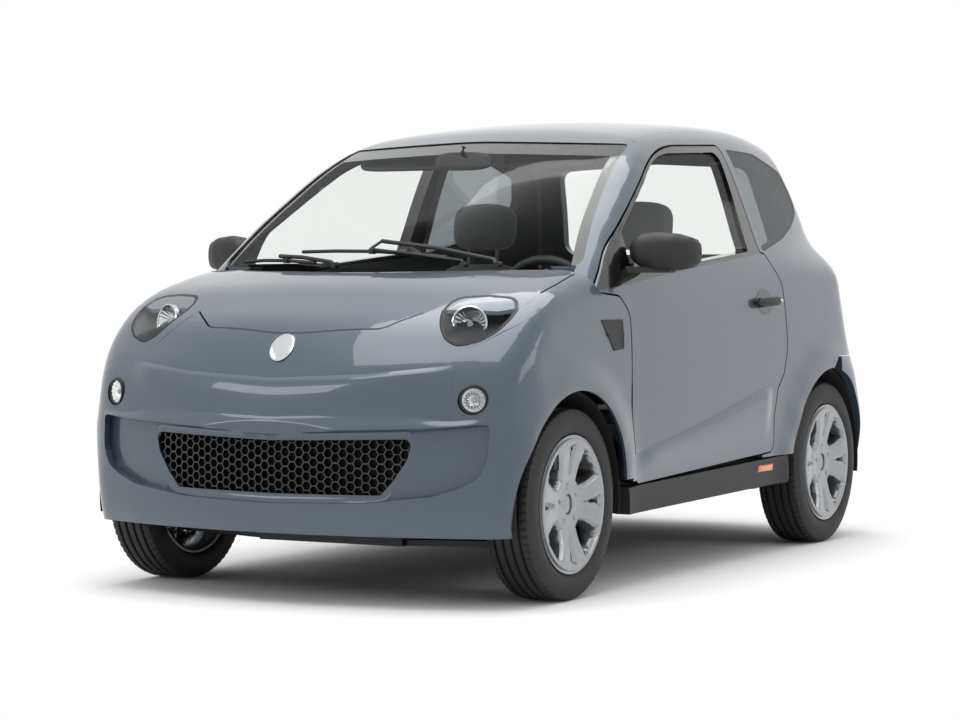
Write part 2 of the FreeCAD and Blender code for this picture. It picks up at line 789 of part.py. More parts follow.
# Sides: pillars, roof rails and quarter panels in one piece each side
frame = cabin_form.wall(0.0, mm.frame_wall).common(frame_prism)
foot_room = box(0, pillar_foot_share * half_width, -mm.body_length, -0.25 * mm.body_length, 0, 0.6626 * mm.body_height)
frame = frame.cut(arches + [door_hole, quarter_prism, bonnet_hole, foot_room])
frame = frame.cut([screen_hole, roof_hole, gate_hole, tail_lamp_hole])
publish("side_frames", pair(frame))

roof = cabin_form.wall(0.0, mm.roof_wall).common(roof_prism)
roof = roof.cut(screen_hole)

quarter_wire = side_outline(quarter_window_shares)
quarter = cabin_form.wall(0.0, mm.glass_wall).common(prism(quarter_wire, side_way, -mm.fit))
publish("quarter_windows", pair(quarter))

screen = screen_form.wall(0.0, mm.screen_wall).common(screen_prism)
publish("windscreen", screen)

# Rear
bumper_block = box(-reach, reach, 0.36 * mm.body_length, beyond, 0.15 * mm.body_height, 0.443 * mm.body_height)
rear_bumper = tail_form.wall(0.0, mm.tail_wall).common(bumper_block).cut(arches)
publish("rear_bumper", rear_bumper)
tail_lamp = cabin_form.wall(0.0, mm.frame_wall).common(tail_lamp_prism).cut(gate_hole)
publish("tail_lamps", pair(tail_lamp))
gate_roof_room = prism(roof_wire, bonnet_way, mm.gate_gap).translated(bonnet_lift)
gate = gate_form.wall(0.0, mm.tail_wall).common(gate_prism).cut(gate_roof_room)
gate = gate.cut(gate_window_hole)
rear_glass = gate_form.wall(0.0, mm.glass_wall).common(gate_window_prism)
publish("rear_glass", rear_glass)

# Doors, each with a black window frame, its glass, a mirror and hinge leaves that turn on pins
def pin(radius, z0, z1):
    """An upright cylinder on the left door's hinge axis."""
    return Part.makeCylinder(radius, z1 - z0, Vector(mm.door_axis_x, mm.door_axis_y, z0), upward)


def hinge_leaf(z):
    """A leaf that reaches round the wing's edge from the pin to the door."""
    low = z - mm.hinge_leaf / 2
    high = z + mm.hinge_leaf / 2
    x, y = mm.door_axis_x, mm.door_axis_y
    half = mm.hinge_strip / 2
    leaf = pin(mm.hinge_pin_radius + mm.hinge_strip / 2, low, high)
    leaf = leaf.fuse([
        box(x - mm.hinge_neck, x, y - half, y + half, low, high),
        box(x - mm.hinge_neck, x - mm.hinge_neck + mm.hinge_strip, y - half, y + mm.hinge_reach, low, high),
        box(x - mm.hinge_neck, x - mm.hinge_neck + mm.hinge_foot, y + mm.hinge_reach - mm.hinge_strip,
            y + mm.hinge_reach, low, high),
    ])
    return leaf.cut(pin(mm.hinge_pin_radius, low, high))


hinge_heights = (mm.low_hinge_z, mm.high_hinge_z)
door_slab = side_form.wall(0.0, mm.door_wall).common(door_prism).cut([
    pin(mm.hinge_swing, 0, mm.high_hinge_z),
    box(0, mm.tub_half_width + mm.gap, -reach, reach, 0, mm.floor_z + mm.sill_height + mm.gap),
])
door_lower = door_slab.cut(belt_prism)
for z in hinge_heights:
    door_lower = door_lower.fuse(hinge_leaf(z))
door_upper = side_form.wall(0.0, mm.frame_wall).common(door_prism).common(belt_prism)
door_upper = door_upper.cut(window_prism)
door_glass = side_form.wall(mm.glass_wall, mm.glass_wall + mm.lens_wall)
door_glass = door_glass.common(prism(side_outline(window_shares), side_way, -mm.fit))

mirror_y = -0.160 * mm.body_length
mirror_z = 0.690 * mm.body_height
mirror_arm = box(0.86 * half_width, 1.00 * half_width, mirror_y - 0.020 * mm.body_length,
                 mirror_y + 0.010 * mm.body_length, mirror_z - 0.045 * mm.body_height, mirror_z)
mirror_head = Part.makeSphere(1.0)
stretch = FreeCAD.Matrix()
stretch.scale(Vector(0.125 * half_width, 0.020 * mm.body_length, 0.052 * mm.body_height))
mirror_head = mirror_head.transformGeometry(stretch)
mirror_head.translate(Vector(1.065 * half_width, mirror_y, mirror_z + 0.01 * mm.body_height))
mirror = mirror_head.fuse(mirror_arm).cut(side_form.wall(-0.0, reach))
for side, turn in (("left", lambda shape: shape), ("right", mirrored)):
    publish(f"door_{side}", turn(door_lower))
    publish(f"door_frame_{side}", turn(door_upper))
    publish(f"door_glass_{side}", turn(door_glass))
    publish(f"mirror_{side}", turn(mirror))
sill = side_form.wall(0.0, 2 * mm.fascia_wall).common(sill_prism)
sill = sill.cut(arches + [
    box(0, mm.tub_half_width, -reach, reach, 0, reach),
    box(0, reach, mm.rear_wall_y - mm.fit, reach, 0, reach),
])
publish("sill_covers", pair(sill))

# Bonnet hinges
def along_x(radius, x0, x1, y, z):
    """A cylinder across the car."""
    return Part.makeCylinder(radius, x1 - x0, Vector(x0, y, z), leftward)


lug_x0 = mm.bonnet_lug_x
lug_x1 = lug_x0 + mm.bonnet_lug_width
bonnet_lug = along_x(mm.bonnet_lug_radius, lug_x0, lug_x1, mm.bonnet_axis_y, mm.bonnet_axis_z)
lug_web = box(lug_x0, lug_x1, mm.bonnet_axis_y - 6 * mm.bonnet_lug_radius, mm.bonnet_axis_y,
              mm.bonnet_axis_z - mm.bonnet_lug_radius, mm.bonnet_axis_z + 2 * mm.bonnet_lug_radius)
lug_web = lug_web.cut(front_form.wall(-reach, mm.bonnet_wall / 2))
bonnet_lug = bonnet_lug.fuse(lug_web)
bonnet_lug = bonnet_lug.cut(along_x(mm.bonnet_pin_radius, 0, reach, mm.bonnet_axis_y, mm.bonnet_axis_z))
bonnet = bonnet.fuse([bonnet_lug, mirrored(bonnet_lug)])
publish("bonnet", bonnet)

# Tailgate hinges: a pin across a notch in the roof's edge, and a leaf on the tailgate
gate_hinge_x = 0.25 * half_width
roof_edge_y = 0.3635 * mm.body_length
gate_hinge_y = roof_edge_y - mm.gate_axis_ahead
roof_top = find(cabin, (gate_hinge_x, gate_hinge_y, mm.bulkhead_top), (0.0, 0.0, 1.0)).z
gate_axis_z = roof_top - mm.gate_axis_drop
half_notch = mm.gate_leaf_width / 2 + mm.gap
notch = box(gate_hinge_x - half_notch, gate_hinge_x + half_notch, gate_hinge_y - mm.roof_wall, roof_end_y + mm.gap,
            mm.bulkhead_top, mm.body_height + mm.gap)
gate_pin = along_x(mm.gate_pin_radius - mm.slip, gate_hinge_x - half_notch - mm.gap,
                   gate_hinge_x + half_notch + mm.gap, gate_hinge_y, gate_axis_z)
roof = roof.cut([notch, mirrored(notch)]).fuse([gate_pin, mirrored(gate_pin)])
publish("roof_panel", roof)
half_leaf = mm.gate_leaf_width / 2
gate_leaf = along_x(2 * mm.gate_pin_radius, gate_hinge_x - half_leaf, gate_hinge_x + half_leaf, gate_hinge_y,
                    gate_axis_z)
gate_tongue = box(gate_hinge_x - half_leaf, gate_hinge_x + half_leaf, gate_hinge_y, roof_end_y + mm.tail_wall,
                  gate_axis_z - mm.roof_wall, gate_axis_z - mm.hinge_slack)
gate_leaf = gate_leaf.fuse(gate_tongue).cut(along_x(mm.gate_pin_radius, 0, reach, gate_hinge_y, gate_axis_z))
gate_leaf = gate_leaf.cut(cabin_form.wall(-reach, 0.0))
gate = gate.fuse([gate_leaf, mirrored(gate_leaf)])
publish("tailgate", gate)
print("tailgate axis", gate_hinge_y, gate_axis_z)

# Tub
bulk_y0 = mm.bulkhead_y
bulk_y1 = mm.bulkhead_y + mm.bulkhead_wall
floor_top = mm.floor_z + mm.floor_plate
tub = box(-mm.tub_half_width, mm.tub_half_width, bulk_y0, mm.rear_wall_y, mm.floor_z, floor_top)
sill_x0 = mm.tub_half_width - mm.sill_width
sill_beam = box(sill_x0, mm.tub_half_width, bulk_y0, mm.rear_wall_y, mm.floor_z, mm.floor_z + mm.sill_height)
bulkhead = box(-mm.bulkhead_half_width, mm.bulkhead_half_width, bulk_y0, bulk_y1, mm.floor_z, mm.bulkhead_top)
carrier_top = mm.wing_carrier_z + mm.wing_carrier_height
carrier = box(-reach, reach, bulk_y0, bulk_y1, mm.wing_carrier_z, carrier_top)
carrier = carrier.cut(front_form.wall(-reach, mm.skin_wall))
rear_y0 = mm.rear_wall_y
rear_y1 = rear_y0 + mm.rear_wall
rear_panel = box(-reach, reach, rear_y0, rear_y1, mm.floor_z, mm.boot_z + mm.boot_plate)
rear_panel = rear_panel.cut(cabin_form.wall(-reach, mm.frame_wall))
rail_x0 = mm.rail_half_width - mm.rail_width
front_rail = box(rail_x0, mm.rail_half_width, -beyond, bulk_y0, mm.front_rail_z, mm.front_rail_z + mm.rail_height)
front_rail = front_rail.cut(front_form.wall(-beyond, mm.fascia_wall))
rear_rail = box(rail_x0, mm.rail_half_width, rear_y0, beyond, mm.rear_rail_z, mm.rear_rail_z + mm.rail_height)
tail_trim = tail_form.wall(-beyond, mm.tail_wall)
rear_rail = rear_rail.cut(tail_trim)
boot_floor = box(-mm.rail_half_width, mm.rail_half_width, rear_y0, beyond, mm.boot_z, mm.boot_z + mm.boot_plate)
boot_floor = boot_floor.cut(tail_trim)
front_beam = box(-mm.rail_half_width, mm.rail_half_width, mm.radiator_y, mm.radiator_y + mm.radiator_wall,
                 mm.front_rail_z, mm.front_rail_z + mm.rail_height)
tub = tub.fuse([sill_beam, mirrored(sill_beam), bulkhead, front_beam, carrier, rear_panel, front_rail, mirrored(front_rail),
                rear_rail, mirrored(rear_rail), boot_floor])
for z in hinge_heights:
    low = z - mm.hinge_leaf / 2 - mm.hinge_slack
    high = z + mm.hinge_leaf / 2 + mm.hinge_slack
    post_x1 = mm.door_axis_x + mm.hinge_pin_radius
    post_y0 = mm.door_axis_y - 2 * mm.hinge_pin_radius
    plates = [
        box(mm.bulkhead_half_width, post_x1, post_y0, bulk_y1, low - mm.hinge_plate, low),
        box(mm.bulkhead_half_width, post_x1, post_y0, bulk_y1, high, high + mm.hinge_plate),
        pin(mm.hinge_pin_radius - mm.slip, low - mm.hinge_plate, high + mm.hinge_plate),
    ]
    post = plates[0].fuse(plates[1:])
    tub = tub.fuse([post, mirrored(post)])
pad_x = mm.tub_half_width - mm.sill_width / 2
for y in (-mm.jack_y, mm.jack_y):
    half_pad = mm.jack_pad / 2
    pad = box(pad_x - half_pad, pad_x + half_pad, y - half_pad, y + half_pad, mm.floor_z - mm.hinge_plate, mm.floor_z)
    tub = tub.fuse([pad, mirrored(pad)])
tub = tub.removeSplitter()
publish("floor_pan", tub)

# Wheel arch liners
liners = []
for axle_y in axle_ys:
    outside_x = 0.955 * half_width
    hub = Vector(mm.liner_inside_x, axle_y, wheel_radius)
    width = outside_x - mm.liner_inside_x
    drum = Part.makeCylinder(mm.arch_radius, width, hub, leftward)
    room = Part.makeCylinder(mm.arch_radius - mm.liner_wall, width, hub + leftward * mm.liner_wall, leftward)
    below = box(0, reach, -beyond, beyond, -reach, mm.floor_z)
    liner = drum.cut([room, below])
    slot = box(0, mm.king_top_x + 3 * mm.strut_radius, axle_y - mm.tower_half_depth - mm.gap,
               axle_y + mm.tower_half_depth + mm.gap, -reach, wheel_radius + mm.arch_radius)
    liner = liner.cut([slot])
    liners.extend([liner, mirrored(liner)])
publish("wheel_arch_liners", Part.makeCompound(liners))

# Cabin: dashboard, steering and seats
dash_profile = [
    (mm.dash_rear_y, mm.dash_low_z), (mm.dash_rear_y, mm.dash_top_z - 0.25 * (mm.dash_top_z - mm.dash_low_z)),
    (mm.dash_rear_y - 0.1 * mm.bonnet_lug_x, mm.dash_top_z), (mm.dash_nose_y, mm.dash_top_z + mm.bonnet_wall),
    (mm.dash_nose_y, mm.dash_top_z - mm.frame_wall), (bulk_y1, mm.bulkhead_top), (bulk_y1, mm.dash_low_z),
]
dash_wire = Part.makePolygon([Vector(-mm.dash_half_width, y, z) for y, z in dash_profile + dash_profile[:1]])
dash = Part.Face(dash_wire).extrude(Vector(2 * mm.dash_half_width, 0, 0))
bracket_y0 = mm.bonnet_axis_y - mm.bonnet_lug_radius
bracket_y1 = mm.bonnet_axis_y + mm.bonnet_lug_radius
bracket_top = mm.bonnet_axis_z + mm.bonnet_pin_radius
for x0 in (lug_x0 - mm.hinge_slack - mm.hinge_plate, lug_x1 + mm.hinge_slack):
    cheek = box(x0, x0 + mm.hinge_plate, bracket_y0, bracket_y1, mm.dash_top_z - mm.frame_wall, bracket_top)
    dash = dash.fuse([cheek, mirrored(cheek)])
bonnet_pin = along_x(mm.bonnet_pin_radius - mm.slip, lug_x0 - mm.hinge_plate, lug_x1 + mm.hinge_plate,
                     mm.bonnet_axis_y, mm.bonnet_axis_z)
dash = dash.fuse([bonnet_pin, mirrored(bonnet_pin)])
publish("dashboard", dash)

wheel_centre = Vector(mm.wheel_x, mm.steer_wheel_y, mm.steer_wheel_z)
column_foot = Vector(mm.wheel_x, bulk_y1, mm.bulkhead_top - mm.column_shroud_radius)
column_way = column_foot - wheel_centre
column_way.normalize()
shaft_clear = mm.steer_hub_depth / 2 + mm.fit
column = Part.makeCylinder(mm.column_radius, mm.column_length, wheel_centre + column_way * shaft_clear, column_way)
shroud_start = wheel_centre + column_way * (mm.steer_hub_depth + mm.gap)
shroud = Part.makeCylinder(mm.column_shroud_radius, mm.column_length / 2, shroud_start, column_way)
column = column.fuse(shroud).cut(dash)
publish("steering_column", column)

rim_ring = Part.makeTorus(mm.steer_wheel_radius, mm.steer_rim_radius, wheel_centre, column_way)
steer_hub = Part.makeCylinder(mm.steer_hub_radius, mm.steer_hub_depth, wheel_centre - column_way * mm.steer_hub_depth / 2,
                              column_way)
turn_wheel = Rotation(upward, column_way)
spokes = []
for angle in (180.0, 0.0, 270.0):
    spoke = Part.makeBox(mm.steer_wheel_radius, mm.steer_spoke_width, mm.steer_spoke_depth,
                         Vector(0, -mm.steer_spoke_width / 2, -mm.steer_spoke_depth / 2))
    spoke.rotate(Vector(), upward, angle)
    spoke.Placement = FreeCAD.Placement(wheel_centre, turn_wheel).multiply(spoke.Placement)
    spokes.append(spoke)
publish("steering_wheel", rim_ring.fuse([steer_hub] + spokes))

half_seat = mm.seat_width / 2
seat_profile = [
    (mm.seat_cushion_front_y, mm.seat_cushion_z), (mm.seat_cushion_front_y, mm.seat_cushion_top_z),
    (mm.seat_cushion_rear_y - mm.seat_back_depth, mm.seat_cushion_top_z - mm.frame_wall),
    (mm.seat_cushion_rear_y, mm.seat_back_top_z), (mm.seat_cushion_rear_y + mm.seat_back_depth, mm.seat_back_top_z),
    (mm.seat_cushion_rear_y, mm.seat_cushion_z),
]
seat_wire = Part.makePolygon([Vector(mm.seat_x - half_seat, y, z) for y, z in seat_profile + seat_profile[:1]])
seat = Part.Face(seat_wire).extrude(Vector(mm.seat_width, 0, 0))
seat = seat.makeFillet(mm.frame_wall / 2, seat.Edges)
half_rest = mm.headrest_width / 2
rest = box(mm.seat_x - half_rest, mm.seat_x + half_rest, mm.seat_cushion_rear_y + mm.frame_wall / 2,
           mm.seat_cushion_rear_y + mm.seat_back_depth, mm.seat_back_top_z - mm.frame_wall, mm.headrest_top_z)
rest = rest.makeFillet(mm.frame_wall / 2, rest.Edges)
half_base = mm.seat_base_width / 2
base = box(mm.seat_x - half_base, mm.seat_x + half_base, mm.seat_cushion_front_y + mm.frame_wall,
           mm.seat_cushion_rear_y - mm.frame_wall, floor_top, mm.seat_cushion_z + mm.frame_wall / 2)
publish("seats", pair(seat.fuse([rest, base])))

# Running gear
def wheel_tube(radius, x0, x1):
    """A cylinder about a wheel's own axis, which is the X axis here."""
    return Part.makeCylinder(radius, x1 - x0, Vector(x0, 0, 0), leftward)


def turned(profile):
    """The solid that (x, radius) points make when turned about the X axis."""
    wire = Part.makePolygon([Vector(x, 0, r) for x, r in profile + profile[:1]])
    return Part.Face(wire).revolve(Vector(), leftward, 360)


face_x = mm.wheel_face_x
inner_x = face_x - mm.tyre_width
rim_radius = mm.rim_diameter / 2
shoulder = mm.tyre_shoulder
tyre = turned([
    (inner_x + shoulder, rim_radius), (inner_x, rim_radius + shoulder),
    (inner_x, wheel_radius - 2 * shoulder), (inner_x + shoulder, wheel_radius),
    (face_x - shoulder, wheel_radius), (face_x, wheel_radius - 2 * shoulder),
    (face_x, rim_radius + shoulder), (face_x - shoulder, rim_radius),
])
barrel_x0 = inner_x + mm.rim_lip
barrel_x1 = face_x - mm.rim_lip
barrel = wheel_tube(rim_radius, barrel_x0, barrel_x1)
barrel = barrel.cut(wheel_tube(rim_radius - mm.rim_barrel_wall, barrel_x0, barrel_x1))
spoke_x0 = barrel_x1 - mm.rim_face_wall
hub_x0 = mm.disc_x - mm.disc_wall
rim = barrel.fuse([wheel_tube(mm.hub_radius, hub_x0, barrel_x1),
                   wheel_tube(mm.disc_radius, mm.disc_x, mm.disc_x + mm.disc_wall)])
spoke_reach = rim_radius - mm.rim_barrel_wall / 2
for i in range(int(mm.spoke_count)):
    arm = Part.makeBox(barrel_x1 - spoke_x0, mm.spoke_width, spoke_reach, Vector(spoke_x0, -mm.spoke_width / 2, 0))
    arm.rotate(Vector(), leftward, 360 * i / mm.spoke_count)
    rim = rim.fuse(arm)
rim = rim.cut(wheel_tube(mm.hub_bore_radius, hub_x0, mm.spindle_tip_x + mm.hinge_slack))
rim = rim.removeSplitter()
for end, axle_y in (("front", front_axle_y), ("rear", rear_axle_y)):
    for side, turn in (("left", lambda shape: shape), ("right", mirrored)):
        place = Vector(0, axle_y, wheel_radius)
        publish(f"tyre_{end}_{side}", turn(tyre.translated(place)))
        publish(f"rim_{end}_{side}", turn(rim.translated(place)))

# Front knuckles turn about a leaning axis from the lower arm's joint to the strut's top.
king_low = Vector(mm.king_low_x, front_axle_y, mm.king_low_z)
king_top = Vector(mm.king_top_x, front_axle_y, mm.king_top_z)
king_way = king_top - king_low
king_way.normalize()


def on_king(radius, start, along):
    """A cylinder on the steering axis, from a distance past the lower joint."""
    return Part.makeCylinder(radius, along, king_low + king_way * start, king_way)


boss_radius = 2 * mm.king_pin_radius + mm.hinge_slack
half_depth = mm.knuckle_depth / 2
strut_foot = Vector(mm.king_top_x + mm.king_pin_radius, front_axle_y, mm.strut_low_z)
strut_way = king_top - strut_foot
strut = Part.makeCylinder(mm.strut_radius, strut_way.Length, strut_foot, strut_way)
strut_length = (king_top - king_low).Length
block_x0 = mm.king_low_x - mm.knuckle_width
upright = box(block_x0, mm.king_low_x, front_axle_y - half_depth, front_axle_y + half_depth,
              mm.king_low_z + boss_radius, mm.strut_low_z + mm.knuckle_width)
bracket = box(strut_foot.x - mm.strut_radius, mm.king_low_x, front_axle_y - half_depth / 2,
              front_axle_y + half_depth / 2, mm.strut_low_z, mm.strut_low_z + mm.knuckle_width)
spindle = Part.makeCylinder(mm.hub_bore_radius - mm.slip, mm.spindle_tip_x - block_x0,
                            Vector(block_x0, front_axle_y, wheel_radius), leftward)
knuckle = upright.fuse([bracket, spindle, strut, on_king(boss_radius, 0, mm.knuckle_depth),
                        on_king(mm.king_pin_radius, strut_length - mm.strut_radius, 2 * mm.strut_radius)])
pin_reach = mm.knuckle_depth / 2
knuckle = knuckle.cut(on_king(mm.king_pin_radius + mm.slip, -boss_radius, boss_radius + pin_reach + mm.hinge_slack))
publish("knuckle_left", knuckle)
publish("knuckle_right", mirrored(knuckle))

arm_low = mm.king_low_z - 2 * boss_radius
arm_points = [
    (mm.arm_inner_x, -mm.arm_spread), (mm.king_low_x, -boss_radius), (mm.king_low_x + boss_radius, 0.0),
    (mm.king_low_x, boss_radius), (mm.arm_inner_x, mm.arm_spread),
]
arm_wire = Part.makePolygon([Vector(x, front_axle_y + y, arm_low) for x, y in arm_points + arm_points[:1]])
lower_arm = Part.Face(arm_wire).extrude(upward * mm.arm_plate)
lower_arm = lower_arm.fuse([on_king(boss_radius, mm.arm_plate - 2 * boss_radius, 2 * boss_radius - mm.arm_plate - mm.slip),
                            on_king(mm.king_pin_radius, -boss_radius, boss_radius + pin_reach)])
subframe = box(-mm.arm_inner_x, mm.arm_inner_x, mm.subframe_y0, mm.subframe_y1, arm_low, mm.engine_low_z)
cross = box(mm.arm_inner_x, mm.rail_half_width, mm.subframe_y0, mm.subframe_y0 + mm.rail_width,
            mm.engine_low_z - mm.rail_width, mm.front_rail_z)
tower_x0 = mm.rail_half_width
tower_x1 = mm.king_top_x + 2 * mm.strut_radius
tower_y0 = front_axle_y - mm.tower_half_depth
tower_y1 = front_axle_y + mm.tower_half_depth
plate_z = mm.king_top_z + mm.strut_radius / 2
tower = box(tower_x0, tower_x0 + mm.tower_wall, tower_y0, tower_y1, mm.front_rail_z, plate_z + mm.tower_wall)
tower = tower.fuse(box(tower_x0, tower_x1, tower_y0, tower_y1, plate_z, plate_z + mm.tower_wall))
tower = tower.cut(on_king(mm.king_pin_radius + mm.slip, 0, 2 * strut_length))
suspension = subframe.fuse([cross, mirrored(cross), lower_arm, mirrored(lower_arm)])
publish("front_suspension", Part.makeCompound([suspension, tower, mirrored(tower)]))

beam = Part.makeCylinder(mm.beam_radius, 2 * mm.beam_half_width,
                         Vector(-mm.beam_half_width, rear_axle_y, wheel_radius), leftward)
stub = Part.makeCylinder(mm.hub_bore_radius - mm.slip, mm.spindle_tip_x,
                         Vector(0, rear_axle_y, wheel_radius), leftward)
trailing = box(mm.trailing_x - mm.trailing_width / 2, mm.trailing_x + mm.trailing_width / 2, rear_y1, rear_axle_y,
               wheel_radius - mm.beam_radius, wheel_radius + mm.beam_radius)
spring = Part.makeCylinder(mm.spring_radius, mm.rear_rail_z - wheel_radius,
                           Vector(mm.rail_half_width - mm.rail_width / 2, rear_axle_y, wheel_radius), upward)
rear_axle = beam.fuse([stub, mirrored(stub), trailing, mirrored(trailing), spring, mirrored(spring)])
publish("rear_axle", rear_axle)

engine = box(-mm.engine_half_width, mm.engine_half_width, mm.engine_front_y, mm.engine_rear_y,
             mm.engine_low_z, mm.engine_top_z)
publish("power_unit", engine)
radiator = box(-mm.radiator_half_width, mm.radiator_half_width, mm.radiator_y, mm.radiator_y + mm.radiator_wall,
               mm.front_rail_z + mm.rail_height, mm.radiator_top_z)
publish("radiator", radiator)

# Wipers
wipers = []
for x_share, reach_share in ((0.30, 0.86), (-0.55, 0.74)):
    pivot = find(screen_face, (x_share * half_width, 0.0, 0.672 * mm.body_height), (0.0, -1.0, 0.0))
    blade_end = find(screen_face, ((x_share + 0.5) * half_width, 0.0, 0.70 * mm.body_height), (0.0, -1.0, 0.0))
    blade_way = blade_end - pivot
    blade = Part.makeCylinder(mm.wiper_radius, blade_way.Length, pivot + ahead * mm.wiper_lift, blade_way)
    spindle = Part.makeCylinder(mm.wiper_radius, mm.wiper_lift, pivot, ahead)
    wipers.append(blade.fuse(spindle).cut(screen_form.wall(0.0, reach)))
publish("wipers", Part.makeCompound(wipers))

# Out
doc.recompute()
os.makedirs("parts", exist_ok=True)
for label, item in nodes.items():
    if "Invalid" in item.State or "Error" in item.State or not item.Shape.isValid():
        raise RuntimeError(f"{label} is not a valid shape")
    print(label, len(item.Shape.Solids), "solids", round(item.Shape.Volume / 1e6, 2), "litres")
for label, item in nodes.items():
    item.Shape.exportStep(f"parts/{label}.step")
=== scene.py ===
# %% [markdown]
# A two-seat microcar in blue-grey metallic paint, seen from its front left corner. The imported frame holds
# every panel, wheel and hinge at its real size, so this script only has to dress it: it gives each surface
# the finish of the real material, and adds what is too fine for the solids, such as tread, seams, lamp
# reflectors and the honeycomb grille. Lengths are metres, +X is the car's left, the nose looks towards -Y
# and +Z is up.

# %% The frame
import math
import bpy
import numpy as np
from mathutils import Matrix, Vector


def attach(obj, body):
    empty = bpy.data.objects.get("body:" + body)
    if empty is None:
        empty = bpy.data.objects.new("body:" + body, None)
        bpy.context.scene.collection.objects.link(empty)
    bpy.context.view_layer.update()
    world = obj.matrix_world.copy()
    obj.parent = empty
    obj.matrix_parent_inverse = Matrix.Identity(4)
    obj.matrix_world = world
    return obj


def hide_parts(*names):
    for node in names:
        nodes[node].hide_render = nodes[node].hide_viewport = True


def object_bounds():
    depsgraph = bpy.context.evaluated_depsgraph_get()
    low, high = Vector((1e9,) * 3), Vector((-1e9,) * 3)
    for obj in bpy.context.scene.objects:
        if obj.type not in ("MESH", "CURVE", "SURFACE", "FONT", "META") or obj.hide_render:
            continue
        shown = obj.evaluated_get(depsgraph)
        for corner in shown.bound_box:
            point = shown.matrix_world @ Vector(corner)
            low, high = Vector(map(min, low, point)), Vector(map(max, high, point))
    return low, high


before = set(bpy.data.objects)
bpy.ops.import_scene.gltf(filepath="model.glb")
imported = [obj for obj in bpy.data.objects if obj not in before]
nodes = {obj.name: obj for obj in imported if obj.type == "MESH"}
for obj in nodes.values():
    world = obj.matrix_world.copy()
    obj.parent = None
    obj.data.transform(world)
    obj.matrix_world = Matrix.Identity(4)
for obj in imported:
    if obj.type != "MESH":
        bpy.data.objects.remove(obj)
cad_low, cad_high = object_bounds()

# %% [markdown]
# Every finish starts from a sheet of constants: a hex colour as a painter would read it off a swatch, and
# the roughness and index of refraction of the real material. Blender shades in linear light, so one
# function turns the swatch's curve into linear numbers, and one function adds a node with its settings.

# %% Colours and nodes
def linear(hex_colour):
    """A swatch like 'a0b0c0' as linear RGBA: the inverse of the sRGB curve, channel by channel."""
    channels = np.array([int(hex_colour[i:i + 2], 16) for i in (0, 2, 4)]) / 255
    bright = channels > 0.04045
    value = np.where(bright, ((channels + 0.055) / 1.055) ** 2.4, channels / 12.92)
    return (*value.tolist(), 1.0)


def add_node(tree, kind, settings=None, **inputs):
    """Adds one shader node. A value that is a socket is linked to the input, any other value is set on it."""
    made = tree.nodes.new(kind)
    for name, value in (settings or {}).items():
        setattr(made, name, value)
    for name, value in inputs.items():
        key = int(name[1:]) if name[:1] == "i" and name[1:].isdigit() else name.replace("_", " ")
        socket = made.inputs[key]
        if isinstance(value, bpy.types.NodeSocket):
            tree.links.new(value, socket)
        else:
            socket.default_value = value
    return made


def new_material(name):
    """An empty node material and its tree."""
    material = bpy.data.materials.new(name)
    material.use_nodes = True
    material.node_tree.nodes.clear()
    return material, material.node_tree

print("node helpers ready")

# %% [markdown]
# Most surfaces of a car are moulded, cast or sprayed, and none is quite even. One recipe serves them all:
# coarse noise mixes two close shades in patches, and fine noise makes a small bump and varies the roughness.
# Only the grain, its depth and the values of the real material change from one finish to the next.

# %% A recipe for moulded, cast and sprayed surfaces
PATCH_GRAINS = 40


def grained(name, dark, light, grain_m, depth_m, roughness, spread=0.08, **fixed):
    """Two shades in patches 40 grains wide, a bump of depth_m, and a roughness that varies by the spread."""
    material, tree = new_material(name)
    place = add_node(tree, "ShaderNodeTexCoord").outputs["Object"]
    fine = add_node(tree, "ShaderNodeTexNoise", Vector=place, Scale=1 / grain_m, Detail=3.0).outputs["Fac"]
    patch = add_node(tree, "ShaderNodeTexNoise", Vector=place, Scale=1 / (PATCH_GRAINS * grain_m), Detail=2.0)
    colour = add_node(tree, "ShaderNodeMix", {"data_type": "RGBA"}, i0=patch.outputs["Fac"], i6=linear(dark),
                      i7=linear(light))
    bump = add_node(tree, "ShaderNodeBump", Height=fine, Strength=0.6, Distance=depth_m)
    uneven = add_node(tree, "ShaderNodeMapRange", Value=fine, To_Min=roughness - spread,
                      To_Max=roughness + spread)
    shader = add_node(tree, "ShaderNodeBsdfPrincipled", Base_Color=colour.outputs[2],
                      Roughness=uneven.outputs["Result"], Normal=bump.outputs["Normal"], **fixed)
    add_node(tree, "ShaderNodeOutputMaterial", Surface=shader.outputs["BSDF"])
    return material


print("patches are", PATCH_GRAINS, "grains wide")

# %% [markdown]
# The body colour is a metallic base coat under clear lacquer. The lacquer gives sharp, narrow reflections
# of the lamps, while the aluminium flakes below it give a soft wide sheen. Principled's coat does the
# lacquer, and a partly metallic base with flake-sized bump does the flakes. Real flakes are about 0.03 mm,
# too fine for a render of the whole car, so they are drawn 0.6 mm across.

# %% Metallic paint
FLAKE = 0.0006
paint, tree = new_material("metallic_paint_blue_grey")
place = add_node(tree, "ShaderNodeTexCoord").outputs["Object"]
flakes = add_node(tree, "ShaderNodeTexVoronoi", {"feature": "F1"}, Vector=place, Scale=1 / FLAKE)
tilt = add_node(tree, "ShaderNodeBump", Height=flakes.outputs["Distance"], Strength=0.08, Distance=FLAKE / 8)
shade = add_node(tree, "ShaderNodeSeparateColor", Color=flakes.outputs["Color"]).outputs["Red"]
colour = add_node(tree, "ShaderNodeMix", {"data_type": "RGBA"}, i0=shade, i6=linear("36434f"),
                  i7=linear("3c4a57"))
shader = add_node(tree, "ShaderNodeBsdfPrincipled", Base_Color=colour.outputs[2], Metallic=0.2, Roughness=0.4,
                  Normal=tilt.outputs["Normal"], Coat_Weight=1.0, Coat_Roughness=0.03, Coat_IOR=1.5)
add_node(tree, "ShaderNodeOutputMaterial", Surface=shader.outputs["BSDF"])
print("paint flakes", FLAKE * 1000, "mm")

